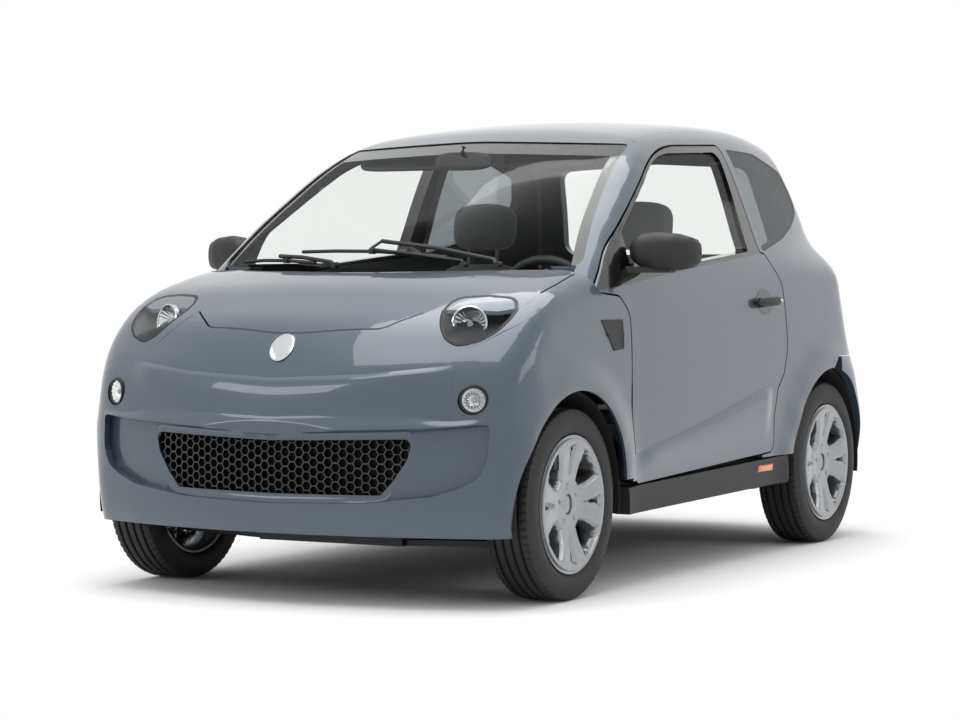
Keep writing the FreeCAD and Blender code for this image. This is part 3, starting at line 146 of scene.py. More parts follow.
# %% [markdown]
# Mirror shells, sills and the dashboard are injection moulded in etched tools, whose fine grain breaks the
# light up, so they look dull and even. The black round grille and windows is lacquered and mirrors the lamps.
# Tyre rubber is matt with a faint sheen, and needled felt in the wheel arches swallows nearly all light.

# %% Plastics, rubber and felt
black_plastic = grained("moulded_black_plastic", "141516", "1b1c1e", 0.0009, 0.0002, 0.55)
gloss_black_and_recess_shade = grained("gloss_black_plastic_and_recess_shade", "08090a", "0c0d0f", 0.004, 0.00002, 0.12, 0.03,
                      Coat_Weight=0.6, Coat_Roughness=0.05)
lamp_black = grained("smoked_black_lamp_housing", "0b0c0d", "101113", 0.002, 0.00005, 0.5, 0.1)
dash_plastic = grained("soft_grained_dashboard_plastic", "38393b", "424345", 0.0012, 0.0004, 0.6)
cabin_trim = grained("grained_grey_cabin_trim", "4a4b4d", "525355", 0.0012, 0.0003, 0.65)
tyre_rubber = grained("vulcanised_tyre_rubber", "101011", "171718", 0.0012, 0.0003, 0.62)
# The same near-black felt also closes the back of the grille, as painted shade.
arch_felt_and_grille_shade = grained("needled_arch_felt_and_grille_shade", "0a0a0b", "111113", 0.002, 0.0006, 0.9, 0.05)
print("plastics, rubber and felt made")

# %% [markdown]
# Metals reflect in their own grey. A cast wheel is sprayed silver under lacquer, so it glints softly. A
# lamp's bowl is metal vapour on plastic, nearly a mirror, and the disc on the nose is polished almost as
# bright. Brake discs are turned iron, darker and duller, and the chassis steel is dipped black.

# %% Metals
cast_alloy = grained("silver_lacquered_cast_aluminium", "8c8f92", "9a9da0", 0.0008, 0.00003, 0.27, 0.05,
                     Metallic=0.8, Coat_Weight=0.5, Coat_Roughness=0.08)
forged_steel = grained("zinc_plated_forged_steel", "4a4c4e", "5c5e60", 0.002, 0.0002, 0.45, 0.1, Metallic=1.0)
frame_steel = grained("black_e_coated_sheet_steel", "0f1011", "17181a", 0.003, 0.0002, 0.5)
engine_cast = grained("cast_engine_aluminium", "6f7173", "85878a", 0.003, 0.0005, 0.5, 0.1, Metallic=0.9)
mirror_metal = grained("vacuum_metallised_reflector", "d8dadc", "e6e7e9", 0.004, 0.00002, 0.08, 0.02,
                       Metallic=1.0)
polished_alloy = grained("polished_aluminium_disc", "c9cbcd", "d6d8da", 0.002, 0.00002, 0.16, 0.04,
                         Metallic=1.0)
disc_iron = grained("turned_cast_iron_brake_disc", "7d7f81", "8f9193", 0.0015, 0.00008, 0.35, 0.08,
                    Metallic=1.0)
lamp_cap = grained("grey_lacquered_bulb_cap", "8d9194", "a2a6a9", 0.003, 0.00003, 0.3, 0.05, Metallic=0.6)
print("metals made")

# %% [markdown]
# Lamp lenses and markers are acrylic or polycarbonate, dyed through and as smooth as the polished mould. That
# gives a deep, even colour under a sharp gloss. The light strip is frosted, so it glows without a highlight.

# %% Coloured lenses
red_lens = grained("red_acrylic_lamp_lens", "a3120f", "b81a16", 0.004, 0.00002, 0.12, 0.03, Coat_Weight=1.0)
amber_lens = grained("amber_acrylic_side_marker", "e0641a", "f07a26", 0.003, 0.00002, 0.15, 0.03,
                     Coat_Weight=1.0)
frosted_lens = grained("frosted_polycarbonate_light_strip", "dfe4e8", "eef2f4", 0.004, 0.00004, 0.25, 0.05,
                       Coat_Weight=0.8)
print("lenses made")

# %% [markdown]
# Seat cloth is plain-woven from grey yarn, with threads about 1 mm apart. A pixel covers 3 mm at the seats,
# so the threads are drawn 12.6 mm apart. Two sine waves at right angles, multiplied, make the bump, and the
# same product draws the cloth darker between the threads as painted shade.

# %% Woven seat cloth
THREAD = 0.004 * math.pi
BANDS_PER_METRE = 20 / (2 * math.pi)
seat_fabric, tree = new_material("woven_grey_seat_cloth")
place = add_node(tree, "ShaderNodeTexCoord").outputs["Object"]
waves = [add_node(tree, "ShaderNodeTexWave", {"bands_direction": way}, Vector=place,
                  Scale=1 / THREAD / BANDS_PER_METRE, Distortion=0.6).outputs["Fac"] for way in "XZ"]
weave_and_gap_shade = add_node(tree, "ShaderNodeMath", {"operation": "MULTIPLY"}, i0=waves[0], i1=waves[1]).outputs[0]
bump = add_node(tree, "ShaderNodeBump", Height=weave_and_gap_shade, Strength=0.5, Distance=0.0006)
# Painted shade: the cloth is drawn darker where the woven surface is low, between the threads.
colour = add_node(tree, "ShaderNodeMix", {"data_type": "RGBA"}, i0=weave_and_gap_shade, i6=linear("66686b"),
                  i7=linear("707275"))
shader = add_node(tree, "ShaderNodeBsdfPrincipled", Base_Color=colour.outputs[2], Roughness=0.92,
                  Sheen_Weight=0.3, Normal=bump.outputs["Normal"])
add_node(tree, "ShaderNodeOutputMaterial", Surface=shader.outputs["BSDF"])
print("threads drawn", round(THREAD * 1000, 1), "mm apart")

# %% [markdown]
# Car glass is only a few millimetres thick and nearly flat, so it bends nothing that is seen through it.
# A tinted transparent shader passes light straight through, and a thin mirror layer over it, stronger
# towards grazing angles, gives the reflections. Refracting glass would shut the lamps out of the cabin.

# %% Glass and lamp lenses
def pane(name, tint, low=0.0, high=0.06):
    """See-through glass under a mirror layer, whose share grows from low to high towards grazing angles."""
    material, tree = new_material(name)
    through = add_node(tree, "ShaderNodeBsdfTransparent", Color=linear(tint))
    skin = add_node(tree, "ShaderNodeBsdfGlossy", Color=linear("ffffff"), Roughness=0.01)
    edge = add_node(tree, "ShaderNodeLayerWeight", Blend=0.12).outputs["Fresnel"]
    share = add_node(tree, "ShaderNodeMapRange", Value=edge, To_Min=low, To_Max=high).outputs["Result"]
    blend = add_node(tree, "ShaderNodeMixShader", i0=share, i1=through.outputs[0], i2=skin.outputs[0])
    add_node(tree, "ShaderNodeOutputMaterial", Surface=blend.outputs["Shader"])
    return material


clear_glass = pane("laminated_clear_glass", "fafbfa")
tinted_glass = pane("privacy_tinted_glass", "b9bdc0", 0.07, 0.35)
lamp_lens = pane("clear_polycarbonate_lamp_lens", "f2f4f5", 0.0, 0.10)
print("glass made")

# %% [markdown]
# The solids already have their true shapes, so most of them only receive a finish. A table from finish to
# nodes keeps that readable, and the cell prints any node that was forgotten.

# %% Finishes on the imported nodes
SIDES = ("left", "right")
WHEELS = [f"{end}_{side}" for end in ("front", "rear") for side in SIDES]
finish_of = [
    (paint, ["front_fascia", "front_wings", "side_frames", "roof_panel", "rear_bumper", "bonnet", "tailgate"]
     + [f"door_{side}" for side in SIDES]),
    (gloss_black_and_recess_shade, ["grille"] + [f"door_frame_{side}" for side in SIDES]),
    (black_plastic, ["sill_covers", "wipers"] + [f"mirror_{side}" for side in SIDES]),
    (arch_felt_and_grille_shade, ["wheel_arch_liners"]),
    (clear_glass, ["windscreen", "rear_glass"] + [f"door_glass_{side}" for side in SIDES]),
    (tinted_glass, ["quarter_windows"]),
    (lamp_lens, ["headlamp_lenses"]),
    (gloss_black_and_recess_shade, ["headlamps", "fog_lamps"]),
    (red_lens, ["tail_lamps"]),
    (tyre_rubber, [f"tyre_{wheel}" for wheel in WHEELS]),
    (cast_alloy, [f"rim_{wheel}" for wheel in WHEELS]),
    (forged_steel, [f"knuckle_{side}" for side in SIDES]),
    (frame_steel, ["floor_pan", "front_suspension", "rear_axle", "radiator"]),
    (engine_cast, ["power_unit"]),
    (dash_plastic, ["dashboard", "steering_column"]),
    (black_plastic, ["steering_wheel"]),
    (seat_fabric, ["seats"]),
]
for material, names in finish_of:
    for name in names:
        nodes[name].data.materials.clear()
        nodes[name].data.materials.append(material)
left_over = sorted(set(nodes) - {name for _, names in finish_of for name in names})
print("nodes without a finish:", left_over)

# %% [markdown]
# The body panels are painted outside and lined with grained plastic inside, yet each is one closed solid. A
# face belongs to the lining when its normal points towards a line along the middle of the cabin: the normal's
# part along the way outwards is then clearly negative.

# %% Cabin lining
CABIN_LINE_Y, CABIN_LINE_Z = (-0.3, 0.7), 0.72
LINING_BELOW = -0.35
for name in ["side_frames", "roof_panel", "tailgate"] + [f"door_{side}" for side in SIDES]:
    mesh = nodes[name].data
    count = len(mesh.polygons)
    normal, middle = np.empty(count * 3, np.float32), np.empty(count * 3, np.float32)
    mesh.polygons.foreach_get("normal", normal)
    mesh.polygons.foreach_get("center", middle)
    normal, middle = normal.reshape(-1, 3), middle.reshape(-1, 3)
    zero = 0 * middle[:, 0]
    outward = middle - np.stack([zero, np.clip(middle[:, 1], *CABIN_LINE_Y), zero + CABIN_LINE_Z], -1)
    facing = (normal * outward).sum(1) / np.linalg.norm(outward, axis=1)
    mesh.materials.append(cabin_trim)
    mesh.polygons.foreach_set("material_index", (facing < LINING_BELOW).astype(np.int32))
    mesh.update()
    print(name, "lined faces", int((facing < LINING_BELOW).sum()), "of", count)

# %% [markdown]
# A new piece is a sheet of points worked out with numpy: a grid of two parameters, whose rows or columns
# may close on themselves. These helpers turn such grids into one mesh with a material for each part, put it
# on a body of the car, and make the twin on the other side by mirroring the points and turning the faces.

# %% Grids
def grid(first, second):
    """Two parameters as arrays of one shape: the first runs down the rows, the second along the columns."""
    return np.meshgrid(np.asarray(first, float), np.asarray(second, float), indexing="ij")


def polar(values, count):
    """A grid with values down its rows and a full turn of angles along its columns."""
    return grid(values, np.linspace(0, 2 * np.pi, count, endpoint=False))


def grid_part(points, material=0, close_rows=False, close_columns=False, keep=None):
    """Vertices and four-cornered faces of a grid of points, shape (rows, columns, 3)."""
    rows, columns = points.shape[:2]
    row_count, column_count = rows - (not close_rows), columns - (not close_columns)
    i, j = np.meshgrid(np.arange(row_count), np.arange(column_count), indexing="ij")
    below, right = (i + 1) % rows, (j + 1) % columns
    quads = np.stack([i * columns + j, below * columns + j, below * columns + right, i * columns + right], -1)
    quads = quads.reshape(-1, 4) if keep is None else quads[keep]
    return points.reshape(-1, 3), quads, material


def round_part(points, material=0, keep=None):
    """A grid whose columns close round the piece, turned over so that its faces point outwards."""
    keep = None if keep is None else keep[:, ::-1]
    return grid_part(points[:, ::-1], material, close_columns=True, keep=keep)


def turned_part(profile, centre=(0, 0, 0), count=64, material=0):
    """A closed profile of (x, radius) pairs turned about the X axis through a centre."""
    profile = np.asarray(profile, float)
    radius, angle = polar(profile[:, 1], count)
    x = profile[:, :1] + 0 * angle
    ring = np.stack([x, radius * np.cos(angle), radius * np.sin(angle)], axis=-1) + np.asarray(centre)
    return grid_part(ring, material, close_rows=True, close_columns=True)


def smooth_step(value, low, high):
    """Rises smoothly from 0 at low to 1 at high: three times the square of the share less twice its cube."""
    t = np.clip((value - low) / (high - low), 0, 1)
    return t * t * (3 - 2 * t)


print("grid helpers ready")

# %% [markdown]
# A piece collects its parts in one mesh. Its faces are shaded smooth but for edges sharper than 32 degrees,
# and a Weld modifier joins the points that meet at seams and poles.

# %% From grids to pieces
SHARP_DEG = 32


def build_piece(name, parts, materials, body="shell", flip=False, mirror=False, both=False, smooth=True,
                merge=0.00005):
    """One mesh from (vertices, faces, material) parts, on the left, mirrored to the right, or both."""
    if both:
        parts = parts + [(vertices * (-1, 1, 1), faces[:, ::-1], slot) for vertices, faces, slot in parts]
    starts = np.cumsum([0] + [len(vertices) for vertices, _, _ in parts])
    places = np.concatenate([vertices for vertices, _, _ in parts]) * ((-1, 1, 1) if mirror else (1, 1, 1))
    faces = np.concatenate([part_faces + start for (_, part_faces, _), start in zip(parts, starts)])
    slots = np.concatenate([np.full(len(part_faces), slot, np.int32) for _, part_faces, slot in parts])
    if mirror != flip:
        faces = faces[:, ::-1]
    mesh = bpy.data.meshes.new(name)
    mesh.from_pydata(places.tolist(), [], faces.tolist())
    for material in materials:
        mesh.materials.append(material)
    mesh.polygons.foreach_set("material_index", slots)
    mesh.polygons.foreach_set("use_smooth", np.full(len(faces), smooth))
    piece = bpy.data.objects.new(name, mesh)
    bpy.context.scene.collection.objects.link(piece)
    if merge:
        weld = piece.modifiers.new("weld", "WELD")
        weld.merge_threshold = merge
    mesh.update()
    if smooth:
        mesh.set_sharp_from_angle(angle=math.radians(SHARP_DEG))
    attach(piece, body)
    return piece


def build_pair(name, parts, materials, body="shell", **options):
    """The piece on the left and its mirror image on the right; a star in the body's name becomes the side."""
    return [build_piece(f"{name}_{side}", parts, materials, body.replace("*", side), mirror=side == "right",
                        **options) for side in SIDES]


print("piece helpers ready")

# %% [markdown]
# The body's skin is one formula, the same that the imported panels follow: a half width from a curve along the
# car times a curve over the height, a nose and a bonnet as curves on the centre line that fall back outwards,
# and rounded corners between them. Trim has to sit exactly on that skin, so the formula is written again here
# for whole arrays. First come the curves, as shares of the car's length and height.

# %% Curves of the skin
LENGTH, HALF_WIDTH, HEIGHT = 2.960, 0.755, 1.470
AXLES_Y, WHEEL_RADIUS = (-0.970, 0.980), 0.281


def natural_spline(pairs, place_unit, value_unit):
    """A smooth curve through (place, value) pairs with no bend at its ends, as a function of an array."""
    pairs = np.asarray(pairs, float)
    place, value = pairs[:, 0] * place_unit, pairs[:, 1] * value_unit
    step, count = np.diff(place), len(place)
    matrix, load = np.eye(count), np.zeros(count)
    for i in range(1, count - 1):
        matrix[i, i - 1:i + 2] = step[i - 1], 2 * (step[i - 1] + step[i]), step[i]
        load[i] = 6 * ((value[i + 1] - value[i]) / step[i] - (value[i] - value[i - 1]) / step[i - 1])
    bend = np.linalg.solve(matrix, load)

    def curve(at):
        """A cubic in each interval, from its end values and bends; a straight line past the last points."""
        at = np.asarray(at, float)
        i = np.clip(np.searchsorted(place, at) - 1, 0, count - 2)
        q = (np.clip(at, place[0], place[-1]) - place[i]) / step[i]
        p = 1 - q
        bends = ((p**3 - p) * bend[i] + (q**3 - q) * bend[i + 1]) * step[i]**2 / 6
        inside = p * value[i] + q * value[i + 1] + bends
        first = (value[1] - value[0]) / step[0] - step[0] * bend[1] / 6
        last = (value[-1] - value[-2]) / step[-1] + step[-1] * bend[-2] / 6
        return inside + np.minimum(at - place[0], 0) * first + np.maximum(at - place[-1], 0) * last
    return curve


plan = natural_spline([(-0.50, 0.950), (-0.44, 0.980), (-0.36, 0.990), (-0.25, 0.990), (-0.05, 0.988),
                       (0.15, 0.988), (0.30, 0.990), (0.40, 0.985), (0.46, 0.965), (0.50, 0.935)], LENGTH, 1)
section = natural_spline([(0.13, 0.955), (0.20, 0.978), (0.30, 0.994), (0.40, 1.000), (0.50, 0.994),
                          (0.60, 0.972), (0.66, 0.945), (0.72, 0.905), (0.80, 0.853), (0.90, 0.780),
                          (1.00, 0.695)], HEIGHT, 1)
cabin_taper = natural_spline([(-0.50, 0.0), (-0.25, 0.0), (-0.05, 0.0), (0.12, 0.004), (0.22, 0.020),
                              (0.32, 0.055), (0.40, 0.105), (0.50, 0.200)], LENGTH, 1)
nose_profile = natural_spline([(0.10, -0.490), (0.15, -0.4955), (0.22, -0.4985), (0.33, -0.4985),
                               (0.41, -0.4935), (0.465, -0.4855), (0.505, -0.4720), (0.545, -0.4560),
                               (0.58, -0.434), (0.62, -0.403)], HEIGHT, LENGTH)
hood_profile = natural_spline([(-0.50, 0.400), (-0.4515, 0.545), (-0.42, 0.582), (-0.38, 0.620),
                               (-0.34, 0.645), (-0.30, 0.664), (-0.25, 0.680), (-0.20, 0.690)],
                              LENGTH, HEIGHT)
screen_profile = natural_spline([(0.60, -0.3500), (0.6585, -0.3142), (0.75, -0.2535), (0.82, -0.1970),
                                 (0.89, -0.1330), (0.94, -0.0709), (1.00, 0.0100)], HEIGHT, LENGTH)
roof_profile = natural_spline([(-0.15, 0.925), (-0.07, 0.952), (0.00, 0.975), (0.10, 0.9945), (0.20, 1.000),
                               (0.30, 0.990), (0.372, 0.962), (0.45, 0.910)], LENGTH, HEIGHT)
print("half width at the doors", round(float(HALF_WIDTH * plan(0.0) * section(0.6)), 4))

# %% [markdown]
# Each face of the body tells how deep a point lies behind it. The least of those depths is positive inside
# the body only, and a rounded least gives the corners their radii. A line of sight then meets the skin where
# the depth changes sign, which is found by halving the distance again and again.

# %% The skin as a formula
NOSE_BOW, HOOD_BOW, SCREEN_BOW, ROOF_BOW = 0.211, 0.053, 0.325, 0.100
HOOD_ROUND, SIDE_ROUND, ROOF_ROUND, PILLAR_ROUND = 0.070, 0.120, 0.040, 0.150
LEAST_DEPTH = 0.22 * PILLAR_ROUND
SHOULDER_Z, TURN_IN = 0.62 * HEIGHT, 0.12 * HEIGHT
FLARE_OUT, FLARE_RADIUS, FLARE_WIDTH = 0.014, 0.345, 0.060
HALVINGS, NOSE_START_Y = 30, -0.30


def smooth_min(a, b, radius):
    """The lesser of two arrays, with the corner between them rounded."""
    blend = np.maximum(radius - np.abs(a - b), 0.0) / radius
    return np.minimum(a, b) - blend**3 * radius / 6


def side_x(y, z):
    """Half width of the body: plan share times section share, less the cabin's taper above the shoulder, plus
    a bell-shaped flare on a circle round each wheel."""
    t = np.clip((z - SHOULDER_Z) / TURN_IN, 0, 1)
    rise = t**3 * (t * (6 * t - 15) + 10)
    share = plan(y) * section(z) - cabin_taper(y) * rise
    off_circle = [np.hypot(y - axle, z - WHEEL_RADIUS) - FLARE_RADIUS for axle in AXLES_Y]
    return HALF_WIDTH * share + sum(FLARE_OUT * np.exp(-((off / FLARE_WIDTH) ** 2)) for off in off_circle)


def front_inside(x, y, z):
    """Positive inside the front: the rounded least of the depths behind nose, bonnet and side."""
    bow = x * x / HALF_WIDTH
    nose, top = y - nose_profile(z) - NOSE_BOW * bow, hood_profile(y) - HOOD_BOW * bow - z
    return smooth_min(smooth_min(nose, top, HOOD_ROUND), side_x(y, z) - np.abs(x), SIDE_ROUND)


def cabin_depths(x, y, z):
    """Depths of a point behind the side, the windscreen and the roof."""
    bow = x * x / HALF_WIDTH
    screen, top = y - screen_profile(z) - SCREEN_BOW * bow, roof_profile(y) - ROOF_BOW * bow - z
    return side_x(y, z) - np.abs(x), screen, top


def side_inside(x, y, z):
    """Positive inboard of the side, rounded towards the roof and the windscreen."""
    side, screen, top = cabin_depths(x, y, z)
    return smooth_min(side, np.maximum(smooth_min(screen, top, ROOF_ROUND), LEAST_DEPTH), PILLAR_ROUND)


def screen_inside(x, y, z):
    """Positive behind the windscreen, rounded towards the roof and the sides."""
    side, screen, top = cabin_depths(x, y, z)
    over = smooth_min(screen, np.maximum(top, LEAST_DEPTH), ROOF_ROUND)
    return smooth_min(over, np.maximum(side, LEAST_DEPTH), PILLAR_ROUND)


def meet(inside, x, y, z, way):
    """Points where lines from (x, y, z) along a way leave the body, by halving the distance."""
    x, y, z = np.broadcast_arrays(x, y, z)
    low, high = np.zeros(x.shape), np.full(x.shape, LENGTH)
    for _ in range(HALVINGS):
        middle = (low + high) / 2
        within = inside(x + middle * way[0], y + middle * way[1], z + middle * way[2]) > 0
        low, high = np.where(within, middle, low), np.where(within, high, middle)
    return np.stack([x + low * way[0], y + low * way[1], z + low * way[2]], axis=-1)


def on_front(x, z, proud=0.0):
    """Points on the nose at places across and heights, moved forward by proud."""
    points = meet(front_inside, x, NOSE_START_Y, z, (0, -1, 0))
    return points + np.array([0, -1, 0]) * np.asarray(proud)[..., None]


def on_side(y, z, proud=0.0):
    """Points on the left side at places along the car and heights, moved out by proud."""
    return meet(side_inside, 0.0, y, z, (1, 0, 0)) + np.array([1, 0, 0]) * np.asarray(proud)[..., None]


print("nose tip", on_front(0.0, 0.45).round(3), "door skin", on_side(0.0, 0.6).round(3))

# %% [markdown]
# The wheel is a cast alloy disc in a turned rim: four wide windows on the diagonals leave four pairs of
# spokes, and a narrow slot splits each pair. A height field does this well: a grid of radius and angle holds
# the depth of the face, the distance to the nearest window edge rounds the spokes, and the cells deep inside
# a window are left out, so one sees through. A thickness is added by a Solidify modifier at the end.

# %% Wheel face
WINDOW = np.array([(0.080, 0.018), (0.114, 0.042), (0.168, 0.060), (0.180, 0.036)])
SLOT = np.array([(0.095, 0.004), (0.176, 0.017)])
FACE_X, HUB_R, RIM_R = 0.728, 0.030, 0.193
LUG_RING, LUG_R, LUG_COUNT, LUG_TURN = 0.055, 0.0095, 5, 0.2
DISH, EDGE_DROP, OPENING_DROP, LUG_DROP = 0.020, 0.004, 0.045, 0.014
FACE_THICK, SEEN_THROUGH = 0.010, -0.0055
FACE_ROWS, TURN_STEPS = 58, 288


def opening_distance(radius, angle, table, first_angle):
    """How far a polar point lies outside the nearest of four openings, whose half widths are a table."""
    off = (angle - first_angle + np.pi / 4) % (np.pi / 2) - np.pi / 4
    along, across = radius * np.cos(off), np.abs(radius * np.sin(off))
    half = np.interp(along, table[:, 0], table[:, 1])
    return np.maximum(across - half, np.maximum(table[0, 0] - along, along - table[-1, 0]))


def wheel_face(axle_y):
    """A grid of radius and angle: a shallow dish, minus the depth of windows, slots and lug holes."""
    radius, angle = polar(np.linspace(HUB_R, RIM_R, FACE_ROWS), TURN_STEPS)
    edge = np.minimum(opening_distance(radius, angle, WINDOW, np.pi / 4),
                      opening_distance(radius, angle, SLOT, 0.0))
    lug_off = (angle + LUG_TURN) % (2 * np.pi / LUG_COUNT) - np.pi / LUG_COUNT
    lug = np.hypot(radius * np.cos(lug_off) - LUG_RING, radius * np.sin(lug_off)) - LUG_R
    x = FACE_X - DISH * (1 - smooth_step(radius, 0.05, RIM_R))
    x -= EDGE_DROP * (1 - smooth_step(edge, 0.0, 0.007))
    x -= OPENING_DROP * (1 - smooth_step(edge, -0.006, 0.0))
    x -= LUG_DROP * (1 - smooth_step(lug, -0.002, 0.001))
    points = np.stack([x, axle_y + radius * np.cos(angle), WHEEL_RADIUS + radius * np.sin(angle)], axis=-1)
    pairs = (edge + np.roll(edge, -1, 1)) / 2
    return round_part(points, keep=(pairs[:-1] + pairs[1:]) / 2 > SEEN_THROUGH)


print("wheel face radius", RIM_R, "lug holes", LUG_COUNT)

# %% [markdown]
# A tyre is a closed profile turned round. Its outer rows are worked out as a radius at each place across:
# four grooves sink it, the shoulders fall away with the power 1.5, and sipes notch the shoulders by angle.

# %% Tyre tread
TREAD_X, TREAD_MIDDLE, SHOULDER = np.linspace(0.592, 0.726, 40), 0.659, 0.052
GROOVES_X, GROOVE_DEPTH = (0.618, 0.645, 0.673, 0.700), 0.009
SIPES, SIPE_DEPTH = 72, 0.004
TYRE_WALL = np.array([(0.7330, 0.262), (0.7365, 0.245), (0.7370, 0.228), (0.7340, 0.214), (0.7300, 0.207),
                      (0.7240, 0.203), (0.5940, 0.203), (0.5880, 0.207), (0.5840, 0.214), (0.5810, 0.228),
                      (0.5815, 0.245), (0.5850, 0.262)])


def tyre_part(axle_y):
    """The tread's radius by place and angle, joined to the side wall's profile, turned about the axle."""
    grooves = sum(smooth_step(-np.abs(TREAD_X - x), -0.0045, -0.0030) for x in GROOVES_X)
    from_middle = np.abs(TREAD_X - TREAD_MIDDLE)
    fall = 2.4 * np.maximum(from_middle - SHOULDER, 0) ** 1.5
    tread, angle = polar(WHEEL_RADIUS - GROOVE_DEPTH * grooves - fall, TURN_STEPS)
    sipe = (np.cos(angle * SIPES) > 0.55) * smooth_step(from_middle, 0.044, 0.048)[:, None]
    tread = tread - SIPE_DEPTH * sipe
    wall_r, angle_wall = polar(TYRE_WALL[:, 1], TURN_STEPS)
    r, angle = np.concatenate([tread, wall_r]), np.concatenate([angle, angle_wall])
    x = np.concatenate([TREAD_X, TYRE_WALL[:, 0]])[:, None] + 0 * angle
    ring = np.stack([x, axle_y + r * np.cos(angle), WHEEL_RADIUS + r * np.sin(angle)], axis=-1)
    return grid_part(ring, close_rows=True, close_columns=True)


print("tyre grooves", len(GROOVES_X), "sipes", SIPES)

# %% [markdown]
# The rim, the plain cap, the brake disc and its hub are turned profiles behind the face. The left wheel is
# built in place at its axle, and the right one is its mirror image.

# %% Wheels on their axles
RIM_PROFILE = [(0.731, 0.2025), (0.7270, 0.2025), (0.7210, 0.1965), (0.700, 0.190), (0.640, 0.190),
               (0.604, 0.196), (0.596, 0.2025), (0.592, 0.2025), (0.592, 0.196), (0.604, 0.188),
               (0.640, 0.182), (0.700, 0.182), (0.7230, 0.1880), (0.7310, 0.1930)]
CAP_PROFILE = [(0.7135, 0.0005), (0.7135, 0.022), (0.7120, 0.0275), (0.7080, 0.0305), (0.700, 0.0305),
               (0.700, 0.0005)]
DISC_PROFILE = [(0.684, 0.062), (0.684, 0.118), (0.674, 0.118), (0.674, 0.062)]
HUB_PROFILE = [(0.6995, 0.0315), (0.6995, 0.062), (0.664, 0.062), (0.664, 0.0315)]
for end, axle_y in zip(("front", "rear"), AXLES_Y):
    centre = (0, axle_y, WHEEL_RADIUS)
    turned = [turned_part(RIM_PROFILE, centre, 96), turned_part(CAP_PROFILE, centre, 48),
              turned_part(DISC_PROFILE, centre, 64, 1), turned_part(HUB_PROFILE, centre, 48, 1)]
    body = f"wheel_{end}_*"
    faces = build_pair(f"wheel_face_{end}", [wheel_face(axle_y)], [cast_alloy], body)
    rims = build_pair(f"wheel_rim_{end}", turned, [cast_alloy, disc_iron], body)
    tyres = build_pair(f"tyre_tread_{end}", [tyre_part(axle_y)], [tyre_rubber], body)
    for side, face, rim, tyre in zip(SIDES, faces, rims, tyres):
        thickness = face.modifiers.new("thickness", "SOLIDIFY")
        thickness.thickness, thickness.offset = FACE_THICK, -1
        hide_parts(f"rim_{end}_{side}")
        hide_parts(f"tyre_{end}_{side}")
    print(end, "wheels, face and tyre quads", len(faces[0].data.polygons) + len(tyres[0].data.polygons))

# %% [markdown]
# The lower grille is a moulded honeycomb in gloss black plastic. Each cell is a short hexagonal tube, so the
# whole grille is one small template of corners, repeated on a staggered grid and pushed back onto the skin's
# formula. The cells are 31 mm wide with 4 mm webs, and the outline of the opening hides the cut ones.

# %% Honeycomb grille
CELL, WEB = 0.0155, 0.0022
GRILLE_LOW, GRILLE_HIGH, FIRST_ROW_Z = 0.318, 0.492, 0.334
OPENING_Z, OPENING_HALF = [0.322, 0.366, 0.429, 0.486], [0.348, 0.386, 0.428, 0.442]
OPENING_HIDDEN = 0.006
FRONT_DEPTH, EDGE_DEPTH, BACK_DEPTH = 0.036, 0.0345, 0.052
PLATE_HALF, PLATE_Z, PLATE_DEPTH = 0.47, (0.305, 0.505), 0.0535
columns, rows = grid(np.arange(-20, 21), np.arange(-1, 7))
cell_x = columns * 1.5 * CELL
cell_z = FIRST_ROW_Z + (rows + 0.5 * (columns % 2)) * math.sqrt(3) * CELL
half_open = np.interp(cell_z, OPENING_Z, OPENING_HALF) + OPENING_HIDDEN
shown = (np.abs(cell_x) < half_open) & (cell_z > GRILLE_LOW) & (cell_z < GRILLE_HIGH)
cell_x, cell_z = cell_x[shown][:, None], cell_z[shown][:, None]
corner = np.arange(6) * np.pi / 3
outer = CELL * np.stack([np.cos(corner), np.sin(corner)])
inner = outer * (CELL - WEB / math.cos(np.pi / 6)) / CELL
rings = [on_front(cell_x + ring[0], cell_z + ring[1], np.full((len(cell_x), 6), -depth))
         for ring, depth in ((outer, FRONT_DEPTH), (inner, EDGE_DEPTH), (inner, BACK_DEPTH))]
tubes = np.stack(rings, axis=1)
here = np.arange(6)
after = (here + 1) % 6
band = np.stack([here, after, after + 6, here + 6], axis=-1)
template = np.concatenate([band, band + 6])
tube_faces = (np.arange(len(tubes))[:, None, None] * 18 + template[None]).reshape(-1, 4)
# Painted shade: a near-black felt sheet just behind the cells stands for the dark depth of the grille.
plate_x, plate_z = grid(np.linspace(-PLATE_HALF, PLATE_HALF, 60), np.linspace(*PLATE_Z, 14))
shade_sheet_behind_cells = on_front(plate_x, plate_z, np.full(plate_x.shape, -PLATE_DEPTH))
grille = build_piece("honeycomb_grille", [(tubes.reshape(-1, 3), tube_faces, 0), grid_part(shade_sheet_behind_cells, 1)],
                     [gloss_black_and_recess_shade, arch_felt_and_grille_shade], smooth=False, merge=0)
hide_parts("grille")
print("grille cells", len(tubes))

# %% [markdown]
# A door mirror is a loft: upright rounded sections along the housing, from the flat end by the glass to the
# rounded tip. A superellipse gives each section, since its exponent goes from an ellipse at 2 towards a
# rectangle. The mirror glass sits in the rear face, and an arm with flat sides carries the head on the door.
# A section is its place out, along and up, with its half depth and half height, all as body shares.

